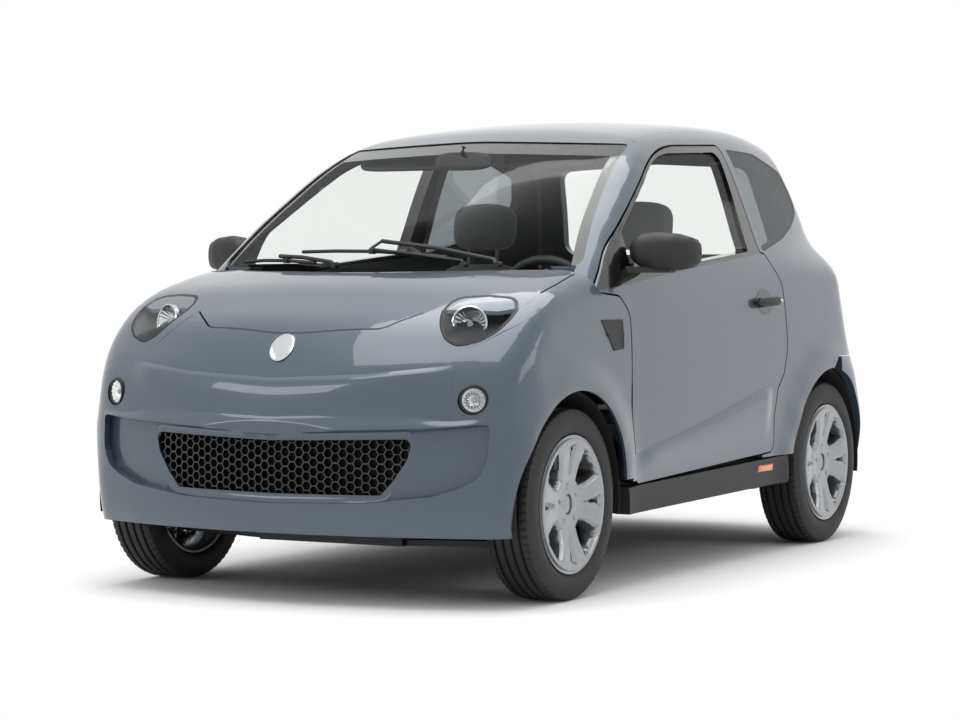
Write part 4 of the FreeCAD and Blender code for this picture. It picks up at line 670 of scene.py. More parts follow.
# %% Door mirrors
MIRROR_SECTIONS = np.array([
    (0.930, -0.1695, 0.6935, 0.0020, 0.0030), (0.934, -0.1692, 0.6935, 0.0120, 0.0190),
    (0.950, -0.1690, 0.6935, 0.0160, 0.0270), (0.972, -0.1680, 0.6935, 0.0185, 0.0350),
    (1.030, -0.1640, 0.6925, 0.0195, 0.0400), (1.110, -0.1580, 0.6905, 0.0175, 0.0380),
    (1.160, -0.1525, 0.6890, 0.0130, 0.0310), (1.182, -0.1495, 0.6890, 0.0080, 0.0210),
    (1.188, -0.1485, 0.6890, 0.0010, 0.0030)])
t = np.linspace(0, len(MIRROR_SECTIONS) - 1, 41)
stations = np.arange(len(MIRROR_SECTIONS))
line = np.stack([np.interp(t, stations, column) for column in MIRROR_SECTIONS.T], axis=-1)
ARM_SHARES = np.array([(0.862, -0.2050), (0.862, -0.1720), (0.960, -0.1540), (1.080, -0.1500),
                       (1.080, -0.1640), (0.960, -0.1860)])
ARM_LEVELS = ((0.6480, 0.98), (0.6490, 1.0), (0.6600, 1.0), (0.6610, 0.98))
HEAD_POWER = 2.6
GLASS_SHARES, GLASS_MIDDLE_SHARE, GLASS_HIGH_SHARE, GLASS_OUT = (0.975, 1.165), 0.6915, 0.80, 0.0008


def superellipse(angle, power):
    """Cosine and sine, each raised to 2 over the power with its sign kept."""
    c, s = np.cos(angle), np.sin(angle)
    return np.sign(c) * np.abs(c) ** (2 / power), np.sign(s) * np.abs(s) ** (2 / power)


c, s = superellipse(np.linspace(0, 2 * np.pi, 40, endpoint=False), HEAD_POWER)
head = np.stack([line[:, 0:1] * HALF_WIDTH + 0 * c, line[:, 1:2] * LENGTH + line[:, 3:4] * LENGTH * c,
                 line[:, 2:3] * HEIGHT + line[:, 4:5] * HEIGHT * s], axis=-1)
glass_x, glass_a = grid(np.linspace(*GLASS_SHARES, 20) * HALF_WIDTH, np.linspace(-1, 1, 9))
middle, deep, high = (np.interp(glass_x / HALF_WIDTH, line[:, 0], line[:, k]) for k in (1, 3, 4))
glass = np.stack([glass_x, middle * LENGTH + deep * LENGTH + GLASS_OUT,
                  GLASS_MIDDLE_SHARE * HEIGHT + high * HEIGHT * GLASS_HIGH_SHARE * glass_a], axis=-1)
arm_middle = ARM_SHARES.mean(axis=0)
arm_rows = []
for height, grown in ARM_LEVELS:
    outline = (arm_middle + (ARM_SHARES - arm_middle) * grown) * (HALF_WIDTH, LENGTH)
    arm_rows.append(np.column_stack([outline, np.full(6, height * HEIGHT)]))
arm = np.stack(arm_rows)
lids = [(arm[0], np.array([[5, 2, 1, 0], [5, 4, 3, 2]]), 0),
        (arm[3], np.array([[0, 1, 2, 5], [2, 3, 4, 5]]), 0)]
mirrors = build_pair("mirror_housing", [round_part(head), round_part(arm), *lids, grid_part(glass, 1)],
                     [black_plastic, mirror_metal], "door_*")
for side, mirror in zip(SIDES, mirrors):
    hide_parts(f"mirror_{side}")
print("mirror head", head.reshape(-1, 3).min(0).round(3), head.reshape(-1, 3).max(0).round(3))

# %% [markdown]
# A headlamp is a bright bowl in a dark housing under a clear lens. The bowl is a parabola turned about the
# lamp's axis, with fine flutes that spread the light sideways, a polished ring round it and a grey cap over
# the bulb. It is built about the X axis, then aimed a little outwards and set in its place.

# %% Headlamp bowls
BOWL_R, BOWL_DEPTH, BOWL_RING = 0.046, 0.030, 0.006
BOWL_PLACE, BOWL_AIM = (0.528, -1.215, 0.811), (0.34, -0.92, 0.17)


def aimed(parts, centre, toward):
    """Turns parts built about the +X axis so that the axis points toward a direction, and moves them."""
    turn = np.array(Vector((1, 0, 0)).rotation_difference(Vector(toward).normalized()).to_matrix()).T
    return [(vertices @ turn + np.asarray(centre), faces, material) for vertices, faces, material in parts]


def bowl_part(radius, depth, flutes):
    """A parabola turned round: the depth falls with the square of the radius, and flutes ripple it."""
    r, angle = polar(np.linspace(0.12, 1.0, 14), 96)
    x = -depth * (1 - r * r) + 0.0012 * np.cos(angle * flutes) * r
    return round_part(np.stack([x, radius * r * np.cos(angle), radius * r * np.sin(angle)], -1))


bowl_ring = [(0.001, BOWL_R - 0.001), (0.004, BOWL_R + BOWL_RING * 0.3), (0.002, BOWL_R + BOWL_RING),
             (-0.012, BOWL_R + BOWL_RING), (-0.010, BOWL_R)]
bulb_cap = np.array([(-0.30, 0), (-0.30, 0.16), (-0.36, 0.20), (-0.9, 0.17), (-0.9, 0)])
bulb_cap = bulb_cap * (BOWL_DEPTH, BOWL_R)
bulb_cap[[0, -1], 1] = 0.0003
bowl = [bowl_part(BOWL_R, BOWL_DEPTH, 24), turned_part(bowl_ring, material=1),
        turned_part(bulb_cap, count=32, material=2)]
build_pair("headlamp_reflector", aimed(bowl, BOWL_PLACE, BOWL_AIM), [mirror_metal, polished_alloy, lamp_cap])
print("bowls aimed at", BOWL_AIM)

# %% [markdown]
# The housing and its cover follow the skin: rings at shares of the lamp's outline, round its middle, are sunk
# behind the nose by a depth for each ring. The outline is kept as a distance for each angle, and a running
# mean softens its corners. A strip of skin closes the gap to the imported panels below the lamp, and a frosted
# strip across the top is the day light.

# %% Headlamp housings and covers
LAMP_MIDDLE = np.array([0.552, 0.822])
LAMP_SEEN = np.array([(.463, .810), (.500, .765), (.540, .746), (.600, .757), (.641, .790), (.660, .829),
                      (.655, .863), (.622, .886), (.536, .893), (.443, .886), (.432, .865), (.443, .842)])
LAMP_PACKED = np.array([(.383, .850), (.421, .815), (.481, .748), (.529, .730), (.606, .761), (.686, .815),
                        (.709, .860), (.701, .893), (.604, .895), (.483, .884)])
lamp_angle = np.linspace(-np.pi, np.pi, 160, endpoint=False)


def reach_of(outline, soft):
    """Distance from the lamp's middle to a closed outline at each angle, its corners softened by a mean."""
    steps = np.linspace(0, 1, 24, endpoint=False)[None, :, None]
    dense = outline[:, None] * (1 - steps) + np.roll(outline, -1, 0)[:, None] * steps
    dense = dense.reshape(-1, 2) - LAMP_MIDDLE
    around, far = np.arctan2(dense[:, 1], dense[:, 0]), np.hypot(dense[:, 0], dense[:, 1])
    order = np.argsort(around)
    reach = np.interp(lamp_angle, around[order], far[order], period=2 * np.pi)
    kernel = np.ones(2 * soft + 1) / (2 * soft + 1)
    return np.convolve(np.concatenate([reach[-soft:], reach, reach[:soft]]), kernel, "valid")


seen_reach, packed_reach = reach_of(LAMP_SEEN, 5), reach_of(LAMP_PACKED, 1)


def on_lamp(reach, proud):
    """Points on the nose at distances round the lamp's middle, moved forward by proud."""
    x, z = LAMP_MIDDLE[0] + reach * np.cos(lamp_angle), LAMP_MIDDLE[1] + reach * np.sin(lamp_angle)
    return on_front(x, z, proud + 0 * x)


def lamp_sheet(shares, depths, material=0):
    """Rings at shares of the lamp's outline, each sunk behind the skin by its depth."""
    reach = np.asarray(shares)[:, None] * seen_reach
    return round_part(on_lamp(reach, -np.asarray(depths)[:, None]), material)


dish = lamp_sheet([0.01, 0.55, 0.80, 0.92, 1.0], [0.062, 0.060, 0.045, 0.020, 0.001])
housing = build_piece("headlamp_housings", [dish], [lamp_black], both=True)
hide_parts("headlamps")
cover = [lamp_sheet([0.01, 0.3, 0.55, 0.75, 0.86, 0.90], [-0.003, -0.003, -0.0025, -0.002, -0.0015, -0.001]),
         lamp_sheet([0.90, 0.97, 1.0], [-0.001, -0.0003, 0.002], 1)]
covers = build_piece("headlamp_covers", cover, [lamp_lens, lamp_black], both=True)
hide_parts("headlamp_lenses")
strip = np.linspace(0, 1, 7)[:, None]
outer_reach = np.maximum(packed_reach + 0.003, seen_reach + 0.002)
surround = on_lamp(seen_reach * (1 - strip) + outer_reach * strip, 0.0005)
below = (lamp_angle < math.radians(33)) | (lamp_angle > math.radians(150))
surround_part = round_part(surround, keep=np.broadcast_to(below, (6, len(below))))
build_piece("lamp_surrounds", [surround_part], [paint], both=True)
above = (lamp_angle > math.radians(38)) & (lamp_angle < math.radians(148))
day_light = on_lamp(np.linspace(0.76, 0.90, 5)[:, None] * seen_reach, -0.004)
day_part = round_part(day_light, keep=np.broadcast_to(above, (4, len(above))))
build_piece("day_lights", [day_part], [frosted_lens], both=True)
print("lamp outline reaches", seen_reach.min().round(3), "to", seen_reach.max().round(3))

# %% [markdown]
# The fog lamps are the same kind of bowl, smaller, in a black ring that stands a few millimetres proud.

# %% Fog lamps
FOG_X, FOG_Z, FOG_R, FOG_AIM = 0.617, 0.599, 0.034, (0.42, -0.90, 0.03)
fog_centre = on_front(FOG_X, FOG_Z, np.array(-0.004))
fog_ring = [(0.001, FOG_R - 0.001), (0.005, FOG_R + 0.002), (0.004, FOG_R + 0.0065), (-0.02, FOG_R + 0.007),
            (-0.02, FOG_R)]
fog_cap = [(-0.005, 0.0003), (-0.005, 0.007), (-0.018, 0.007), (-0.018, 0.0003)]
fog_parts = aimed([bowl_part(FOG_R, 0.020, 16), turned_part(fog_ring, material=1),
                   turned_part(fog_cap, count=24, material=2)], fog_centre, FOG_AIM)
fog_piece = build_piece("fog_lamp_units", fog_parts, [mirror_metal, black_plastic, lamp_cap], both=True)
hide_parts("fog_lamps")
print("fog lamps set at", fog_centre.round(3))

# %% [markdown]
# The bonnet and the nose panels are pressed round the lamp. A copy of each panel is cut with a prism of the
# lamp's outline by a Boolean, so the lamp stands free when the bonnet opens.

# %% Panels cut round the lamps
CUT_Y = (-1.5, -1.05)
PANEL_SHARP_DEG = 11


def prism_of(outline_x, outline_z, y_range):
    """A closed prism between two places along the car, from an outline in front view."""
    ends = [np.stack([outline_x, np.full_like(outline_x, y), outline_z], -1) for y in y_range]
    tips = [np.broadcast_to((outline_x.mean(), y, outline_z.mean()), ends[0].shape) for y in y_range]
    return round_part(np.stack([tips[0], ends[0], ends[1], tips[1]]))


def cut_panel(name, cutter, body):
    """A copy of a packed panel with the cutter's volume removed, which stands for the panel."""
    panel = bpy.data.objects.new(f"{name}_pressed", nodes[name].data.copy())
    bpy.context.scene.collection.objects.link(panel)
    weld = panel.modifiers.new("weld", "WELD")
    weld.merge_threshold = 0.00002
    cut = panel.modifiers.new("cut", "BOOLEAN")
    cut.object, cut.operation, cut.solver = cutter, "DIFFERENCE", "EXACT"
    bpy.context.view_layer.update()
    shaped = bpy.data.meshes.new_from_object(panel.evaluated_get(bpy.context.evaluated_depsgraph_get()))
    panel.modifiers.clear()
    panel.data = shaped
    shaped.set_sharp_from_angle(angle=math.radians(PANEL_SHARP_DEG))
    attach(panel, body)
    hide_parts(name)
    return panel


prism = prism_of(LAMP_MIDDLE[0] + seen_reach * np.cos(lamp_angle),
                 LAMP_MIDDLE[1] + seen_reach * np.sin(lamp_angle), CUT_Y)
lamp_cutter = build_piece("lamp_cutter", [prism], [], both=True, smooth=False)
for name, body in (("bonnet", "bonnet"), ("front_fascia", "shell"), ("front_wings", "shell")):
    panel = cut_panel(name, lamp_cutter, body)
    print(name, "faces", len(nodes[name].data.polygons), "->", len(panel.data.polygons))
bpy.data.objects.remove(lamp_cutter)

# %% [markdown]
# The nose carries a plain polished disc with a raised rim: rings round its middle, each lifted off the skin
# by its own height, and the last one turned back below it so that no gap shows.

# %% Nose disc
DISC_Z = 0.741
DISC_RINGS = np.array([(0.0005, 0.0035), (0.020, 0.0030), (0.030, 0.0022), (0.034, 0.0060), (0.0385, 0.0050),
                       (0.039, -0.0030)])
radius, angle = polar(DISC_RINGS[:, 0], 64)
badge = on_front(radius * np.cos(angle), DISC_Z + radius * np.sin(angle), DISC_RINGS[:, 1:] + 0 * angle)
build_piece("nose_disc", [round_part(badge)], [polished_alloy])
print("nose disc radius", DISC_RINGS[-1, 0])

# %% [markdown]
# A door pull is a bar with rounded ends on two short posts. Behind it, a flat gloss-black patch just proud of
# the door skin is painted shade, standing for a shallow bowl in the door. The pull's section is a superellipse
# that shrinks to nothing at both ends, and it arches away from the skin in the middle.

# %% Door handles
HANDLE_Y, HANDLE_Z = 0.440, 0.8526
PULL_HALF, PULL_THICK, PULL_TALL, PULL_OUT, PULL_ARCH = 0.090, 0.010, 0.015, 0.016, 0.012
POST_OFF, POST_HALF_Y, POST_HALF_Z, LOCK_OFF = 0.078, 0.016, 0.013, 0.088
RECESS_SHADE_HALF_Y, RECESS_SHADE_HALF_Z = 0.062, 0.044
t, angle = polar(np.linspace(-1, 1, 41), 20)
thin = np.sqrt(np.maximum(1 - np.abs(t) ** 6, 0.0004))
pull_c, pull_s = superellipse(angle, 2.4)
arch = PULL_OUT + PULL_ARCH * (1 - t * t)
pull = on_side(HANDLE_Y + PULL_HALF * t, HANDLE_Z + 0 * t) + np.stack(
    [arch + PULL_THICK * thin * pull_c, 0 * t, PULL_TALL * thin * pull_s + 0.003 * t], axis=-1)
handle_parts = [grid_part(pull, close_columns=True)]
depth, angle = polar([-0.004, 0.018], 24)
for post_y in (HANDLE_Y - POST_OFF, HANDLE_Y + POST_OFF):
    around = np.stack([depth, POST_HALF_Y * np.cos(angle), POST_HALF_Z * np.sin(angle)], -1)
    post = on_side(post_y, HANDLE_Z) + around
    handle_parts.append(round_part(post))
lock_r, angle = polar([0.0003, 0.0055, 0.0065], 24)
lock_x = np.array([0.0275, 0.0275, 0.020])[:, None] + 0 * angle
lock = on_side(HANDLE_Y + LOCK_OFF, HANDLE_Z + 0.001) + np.stack(
    [lock_x, lock_r * np.cos(angle), lock_r * np.sin(angle)], -1)
# Painted shade: the patch round the pull lies 0.6 mm out on the flat skin, drawn in gloss black for a bowl.
share, angle = polar(np.linspace(0.02, 1, 14), 48)
recess_shade_patch = on_side(HANDLE_Y + RECESS_SHADE_HALF_Y * share * np.cos(angle),
                 HANDLE_Z + RECESS_SHADE_HALF_Z * share * np.sin(angle), 0.0006 + 0 * share)
build_pair("door_handle", [*handle_parts, round_part(lock, 1)], [black_plastic, polished_alloy], "door_*")
build_pair("handle_recess_shade", [round_part(recess_shade_patch)], [gloss_black_and_recess_shade], "door_*")
print("handles", 2 * PULL_HALF, "long")

# %% [markdown]
# The wing vent and the amber sill marker are patches of skin: two parameters run from -1 to 1, the patch is
# lifted by its height inside a narrow border, and at the border it dips 1 mm below the skin.

# %% Vents and markers
MARKER_Y, MARKER_Z, MARKER_HALF = 0.4505, 0.2950, (0.0635, 0.0125)
VENT_CORNERS = np.array([[(-0.800, 0.816), (-0.722, 0.720)], [(-0.646, 0.814), (-0.654, 0.724)]])


def raised_patch(first, second, lift, place, rise_width=0.25):
    """A patch over two parameter arrays: it rises by lift within its border and sits 1 mm deep there."""
    a, b = grid(first, second)
    border = np.minimum(1 - np.abs(a), 1 - np.abs(b))
    return grid_part(place(a, b, -0.001 + (lift + 0.001) * smooth_step(border, 0.0, rise_width)))


def marker_place(a, b, proud):
    """A plain rectangle on the side, from its middle and half sizes."""
    return on_side(MARKER_Y + MARKER_HALF[0] * a, MARKER_Z + MARKER_HALF[1] * b, proud)


def vent_place(a, b, proud):
    """A bilinear blend of the four vent corners gives the place; a bar and a frame stand on it."""
    u, v = ((a + 1) / 2)[..., None], ((1 - b) / 2)[..., None]
    yz = ((1 - u) * ((1 - v) * VENT_CORNERS[0, 0] + v * VENT_CORNERS[0, 1])
          + u * ((1 - v) * VENT_CORNERS[1, 0] + v * VENT_CORNERS[1, 1]))
    bar = np.exp(-((b - 0.05) / 0.10) ** 2) * 0.003
    frame_rise = 0.0025 * smooth_step(np.maximum(np.abs(a), np.abs(b)), 0.80, 0.86)
    return on_side(yz[..., 0], yz[..., 1], np.minimum(proud, 0.0008) + bar + frame_rise * (proud > 0))


marker = raised_patch(np.linspace(-1, 1, 17), np.linspace(-1, 1, 9), 0.004, marker_place)
vent = raised_patch(np.linspace(-1, 1, 33), np.linspace(-1, 1, 33), 0.0008, vent_place, 0.08)
build_pair("side_marker", [marker], [amber_lens])
build_pair("wing_vent", [vent], [black_plastic])
print("vents and markers made")

# %% [markdown]
# The nose has a pressed lip over the grille recess and a fold above it, and each door a crease that rises
# to the rear. All are strips of skin: the formula gives the base, and a profile across the strip lifts it,
# slowly from one side and steeply at the other, so the light breaks along one clean line.

# %% Pressed lip, nose fold and door crease
LIP_HALF, FOLD_HALF, CREASE_START, CREASE_LONG = 0.672, 0.555, -0.590, 1.062
LIP_LIFT, FOLD_LIFT, CREASE_LIFT, SKIN_LIFT = 0.013, 0.009, 0.011, 0.0004
t, s = grid(np.linspace(-1, 1, 81), np.linspace(0, 1, 13))
lip_x = LIP_HALF * t
lip_z = np.interp(np.abs(lip_x), [0, 0.45, 0.672], [0.4985, 0.5135, 0.5345]) - 0.004
lip_z = lip_z + s * (0.050 - 0.028 * smooth_step(np.abs(lip_x), 0.42, 0.58))
rise = smooth_step(1 - np.abs(t), 0.0, 0.10) * smooth_step(s, 0.0, 0.14) * (1 - smooth_step(s, 0.14, 1.0))
lip = on_front(lip_x, lip_z, SKIN_LIFT + LIP_LIFT * rise)
lip[..., 1] = np.maximum(lip[..., 1], cad_low[1] + 0.0002)
build_piece("recess_lip", [grid_part(lip)], [paint])
t, s = grid(np.linspace(-1, 1, 81), np.linspace(0, 1, 21))
fold_x = FOLD_HALF * t
fold_z = np.interp(np.abs(fold_x), [0, 0.30, 0.60], [0.648, 0.662, 0.694]) - 0.105 + 0.112 * s
rise = smooth_step(1 - np.abs(t), 0.0, 0.16) * smooth_step(s, 0.0, 0.86) * (1 - smooth_step(s, 0.90, 1.0))
build_piece("nose_crease", [grid_part(on_front(fold_x, fold_z, SKIN_LIFT + FOLD_LIFT * rise))], [paint])
t, s = grid(np.linspace(0, 1, 61), np.linspace(0, 1, 17))
crease_y = CREASE_START + CREASE_LONG * t
crease_top = np.interp(crease_y, [-0.612, -0.107, 0.364, 0.563], [0.396, 0.472, 0.559, 0.588])
crease_low = 0.322 + 0.034 * t
crease_z = crease_low + (crease_top - crease_low) * s
rise = (smooth_step(t, 0.0, 0.14) * smooth_step(1 - t, 0.0, 0.06) * smooth_step(s, 0.0, 0.8)
        * (1 - smooth_step(s, 0.86, 1.0)))
crease = grid_part(on_side(crease_y, crease_z, SKIN_LIFT + CREASE_LIFT * rise))
build_pair("door_crease", [crease], [paint], "door_*", flip=True)
print("pressed forms lifted by up to", LIP_LIFT)

# %% [markdown]
# Wiper arms are pressed steel in black, with rubber blades held by a frame. A round bar carried along a line
# does for both: at each point of the line a ring is set square to the way the line runs. The lines are points
# in front of the windscreen, as shares of the half width and the height.

# %% Wipers
DRIVER_ARM = [(0.560, 0.6660), (0.540, 0.6760), (0.290, 0.7000), (0.020, 0.7155)]
DRIVER_LINK = [(0.430, 0.6660), (0.420, 0.6740), (0.200, 0.6880), (-0.010, 0.6990), (0.020, 0.7155)]
DRIVER_BLADE = [(-0.3608, 0.6936), (-0.1800, 0.6950), (0.0000, 0.6940), (0.1700, 0.6890), (0.3433, 0.6812)]
OTHER_ARM = [(-0.140, 0.6660), (-0.160, 0.6720), (-0.330, 0.6820), (-0.470, 0.6850)]
OTHER_BLADE = [(-0.6940, 0.6730), (-0.5600, 0.6760), (-0.4200, 0.6755), (-0.2500, 0.6700)]
PIVOTS = [(0.560, 0.6660), (0.430, 0.6660), (-0.140, 0.6660), (0.0, 0.694), (-0.42, 0.6755)]
SQUEEGEE_LIFT, SQUEEGEE_R, PIVOT_R = 0.005, 0.003, 0.009


def tube_part(path, radius, material=0, sides=10):
    """A ring of a radius at each point of a path, square to the path's direction, with its ends closed."""
    path = np.asarray(path, float)
    way = np.gradient(path, axis=0)
    way /= np.linalg.norm(way, axis=1)[:, None]
    across = np.cross(way, (0.0, 0.35, 1.0))
    across /= np.linalg.norm(across, axis=1)[:, None]
    over = np.cross(across, way)
    angle = np.linspace(0, 2 * np.pi, sides, endpoint=False)[:, None]
    rings = path[:, None] + radius * (across[:, None] * np.cos(angle) + over[:, None] * np.sin(angle))
    ends = [np.repeat(path[k][None, None], sides, 1) for k in (0, -1)]
    return round_part(np.concatenate([ends[0], rings, ends[1]]), material)


def on_screen(shares, lift):
    """Points in front of the windscreen, from shares of the half width and the height."""
    shares = np.asarray(shares, float)
    points = meet(screen_inside, shares[:, 0] * HALF_WIDTH, 0.0, shares[:, 1] * HEIGHT, (0, -1, 0))
    return points + np.array([0, -1, 0]) * lift


def refined(points, count=8):
    """More points along straight runs between the given ones."""
    points = np.asarray(points, float)
    at = np.linspace(0, len(points) - 1, (len(points) - 1) * count + 1)
    return np.stack([np.interp(at, np.arange(len(points)), points[:, k]) for k in range(points.shape[1])], -1)


wiper_parts = [tube_part(on_screen(refined(shares), lift), radius) for shares, lift, radius in (
    (DRIVER_ARM, 0.026, 0.0065), (DRIVER_LINK, 0.024, 0.0045), (DRIVER_BLADE, 0.014, 0.0055),
    (OTHER_ARM, 0.024, 0.0065), (OTHER_BLADE, 0.013, 0.0055),
    (DRIVER_BLADE, SQUEEGEE_LIFT, SQUEEGEE_R), (OTHER_BLADE, SQUEEGEE_LIFT, SQUEEGEE_R))]
for pivot in PIVOTS:
    near, far = on_screen([pivot], 0.028)[0], on_screen([pivot], 0.0005)[0]
    wiper_parts.append(tube_part([near, (near + far) / 2, far], PIVOT_R))
wipers = build_piece("wiper_set", wiper_parts, [black_plastic], merge=0)
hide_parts("wipers")
print("wiper bars", len(wiper_parts))

# %% [markdown]
# A windscreen is glued in, and a black enamel border hides the glue from outside. Two strips behind the glass
# follow the pillars, and one follows the roof.

# %% Screen border
BORDER_DEPTH, BORDER_WIDE, TOP_WIDE = 0.0115, 0.030, 0.042
BORDER_Z_SHARES, BORDER_X_SHARES, TOP_HALF_SHARE = (0.664, 0.934), (0.852, 0.676), 0.69


def behind_screen(x, z, depth):
    """Points a depth behind the windscreen's outer face."""
    return meet(screen_inside, x, 0.0, z, (0, -1, 0)) + np.array([0, 1, 0]) * np.asarray(depth)[..., None]


t, s = grid(np.linspace(0, 1, 40), np.linspace(0, 1, 3))
edge_z = np.interp(t, (0, 1), BORDER_Z_SHARES) * HEIGHT
edge_x = np.interp(t, (0, 1), BORDER_X_SHARES) * HALF_WIDTH - BORDER_WIDE * (1 - s)
pillar, pillar_faces, _ = grid_part(behind_screen(edge_x, edge_z, BORDER_DEPTH + 0 * s))
top_x = (2 * t - 1) * TOP_HALF_SHARE * HALF_WIDTH
top_z = np.interp(np.abs(top_x), [0, 0.52], [1.380, 1.362]) - TOP_WIDE * (1 - s)
border = [(pillar, pillar_faces, 0), (pillar * (-1, 1, 1), pillar_faces[:, ::-1], 0),
          grid_part(behind_screen(top_x, top_z, BORDER_DEPTH + 0 * s))]
build_piece("screen_border", border, [gloss_black_and_recess_shade], merge=0)
print("border strips", len(border))

# %% [markdown]
# Inner mirror, sun visors, instrument hood and display are padded or moulded boxes with soft edges. A
# superellipsoid makes them all: the higher its power, the closer it comes to a box.

# %% Cabin trim
def rounded_block(centre, half, power=4.0, lean=0.0):
    """Cosines and sines of two angles, raised to 2 over the power; lean tilts the block back about X."""
    up_angle, round_angle = polar(np.linspace(-np.pi / 2, np.pi / 2, 25), 40)
    c1, s1 = superellipse(up_angle, power)
    c2, s2 = superellipse(round_angle, power)
    points = np.stack([c1 * c2, c1 * s2, s1], -1) * np.asarray(half)
    y = points[..., 1] * math.cos(lean) + points[..., 2] * math.sin(lean)
    z = points[..., 2] * math.cos(lean) - points[..., 1] * math.sin(lean)
    return grid_part(np.stack([points[..., 0], y, z], -1) + np.asarray(centre), close_columns=True)


mirror_place = behind_screen(np.array(0.0), np.array(1.312), np.array(0.075))
visor_place = behind_screen(np.array(0.27), np.array(1.325), np.array(0.110))
mirror_stem = [mirror_place + off for off in ((0, -0.008, 0.01), (0, -0.006, 0.03), (0, 0.0, 0.046))]
mirror_parts = [rounded_block(mirror_place, (0.105, 0.014, 0.030), 3.0), tube_part(mirror_stem, 0.008)]
visor = rounded_block(visor_place, (0.165, 0.010, 0.055), 5.0, 0.9)
build_piece("inner_mirror", mirror_parts, [black_plastic], merge=0)
build_piece("sun_visors", [visor], [dash_plastic], both=True, merge=0)
build_piece("instrument_hood", [rounded_block((0.300, -0.455, 0.885), (0.165, 0.085, 0.055), 2.6),
                                rounded_block((0.0, -0.430, 0.868), (0.115, 0.018, 0.060), 5.0, 0.2)],
            [dash_plastic], merge=0)
print("inner mirror at", mirror_place.round(3))

# %% [markdown]
# The seats are foam under cloth. Each cushion starts as rounded blocks, a little small, that a voxel remesh
# merges; the Cloth simulation then blows it up with a gentle pressure, which crowns the faces and pulls the
# corners in as foam does. No point moves more than 14 mm, so that the seats stay clear of the doors.

# %% Padding by cloth simulation
VOXEL, LAST_FRAME, MOST_MOVED = 0.009, 20, 0.014


def read_vectors(collection, attribute):
    """An attribute of every vertex as an array of three columns."""
    flat = np.empty(len(collection) * 3)
    collection.foreach_get(attribute, flat)
    return flat.reshape(-1, 3)


def padded_form(name, blocks):
    """Blocks merged by a voxel remesh, then inflated by the Cloth simulation: points, faces and normals."""
    form = build_piece(name, [rounded_block(*block) for block in blocks], [seat_fabric], merge=0)
    remesh = form.modifiers.new("remesh", "REMESH")
    remesh.mode, remesh.voxel_size = "VOXEL", VOXEL
    bpy.context.view_layer.update()
    form.data = bpy.data.meshes.new_from_object(form.evaluated_get(bpy.context.evaluated_depsgraph_get()))
    form.modifiers.clear()
    shaped = start = read_vectors(form.data.vertices, "co")
    cloth = form.modifiers.new("foam", "CLOTH")
    cloth.settings.use_pressure = True
    cloth.settings.uniform_pressure_force = 4.0
    cloth.settings.effector_weights.gravity = 0.0
    for step in range(1, LAST_FRAME + 1):
        bpy.context.scene.frame_set(step)
    result = form.evaluated_get(bpy.context.evaluated_depsgraph_get()).to_mesh()
    moved = read_vectors(result.vertices, "co") - start
    length = np.linalg.norm(moved, axis=1)[:, None]
    shaped = start + moved * np.minimum(1, MOST_MOVED / np.maximum(length, 1e-9))
    form.modifiers.clear()
    bpy.context.scene.frame_set(1)
    corners = np.empty(len(form.data.loops), np.int32)
    form.data.loops.foreach_get("vertex_index", corners)
    normals = read_vectors(form.data.vertices, "normal")
    bpy.data.objects.remove(form)
    return shaped, corners.reshape(-1, 4), normals


print("cloth runs for", LAST_FRAME, "frames, quick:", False)

# %% [markdown]
# The sewn seams come after the simulation, as grooves along fixed lines: a narrow bell curve of the distance
# to each line pushes the points in along their normals. The right seat is the left one mirrored.

# %% Padded seats
SEAT_X, BOLSTER_SEAM = 0.300, 0.145
SEAM_DEPTH, SEAM_WIDTH = 0.006, 0.005
SEAMS_ACROSS = {"seat_cushion": (1, (0.02, 0.16)), "seat_back": (2, (0.62, 0.78))}
seat_blocks = {
    "seat_cushion": [((SEAT_X, 0.095, 0.425), (0.222, 0.235, 0.070), 4.0, 0.10)]
    + [((SEAT_X + off, 0.090, 0.445), (0.035, 0.220, 0.068), 3.0, 0.10) for off in (-0.195, 0.195)],
    "seat_back": [((SEAT_X, 0.318, 0.720), (0.205, 0.050, 0.275), 4.0, 0.16)]
    + [((SEAT_X + off, 0.292, 0.690), (0.036, 0.052, 0.235), 3.0, 0.16) for off in (-0.175, 0.175)],
    "headrest": [((SEAT_X, 0.372, 1.108), (0.118, 0.042, 0.080), 3.6, 0.12)],
}
seat_pieces = []
for name, blocks in seat_blocks.items():
    points, faces, normals = padded_form(name, blocks)
    off = np.abs(points[:, 0] - SEAT_X)
    if name in SEAMS_ACROSS:
        axis, lines = SEAMS_ACROSS[name]
        seams = np.exp(-((off - BOLSTER_SEAM) / SEAM_WIDTH) ** 2)
        for line in lines:
            across = np.exp(-((points[:, axis] - line) / SEAM_WIDTH) ** 2)
            seams = np.maximum(seams, across * (off < BOLSTER_SEAM))
        points = points - normals * SEAM_DEPTH * seams[:, None]
    pair = build_pair(name, [(points, faces, 0)], [seat_fabric], merge=0)
    seat_pieces += pair
    print(name, "faces", len(faces))
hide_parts("seats")
posts = [tube_part([(x, 0.345, 0.93), (x, 0.355, 0.99), (x, 0.365, 1.06)], 0.007)
         for x in (SEAT_X - 0.055, SEAT_X + 0.055)]
base_points, base_faces, _ = rounded_block((SEAT_X, 0.10, 0.300), (0.180, 0.200, 0.062), 6.0)
mount_parts = posts + [(base_points, base_faces, 1)]
build_piece("seat_mounts", mount_parts, [forged_steel, black_plastic], both=True, merge=0)
print("seats made")

# %% [markdown]
# The photograph was taken with a long lens from the front left, a little above the bumper. The camera's
# place and turn were solved from the wheels' ellipses and the car's symmetry. The lens is given for a
# 36 mm wide sensor.

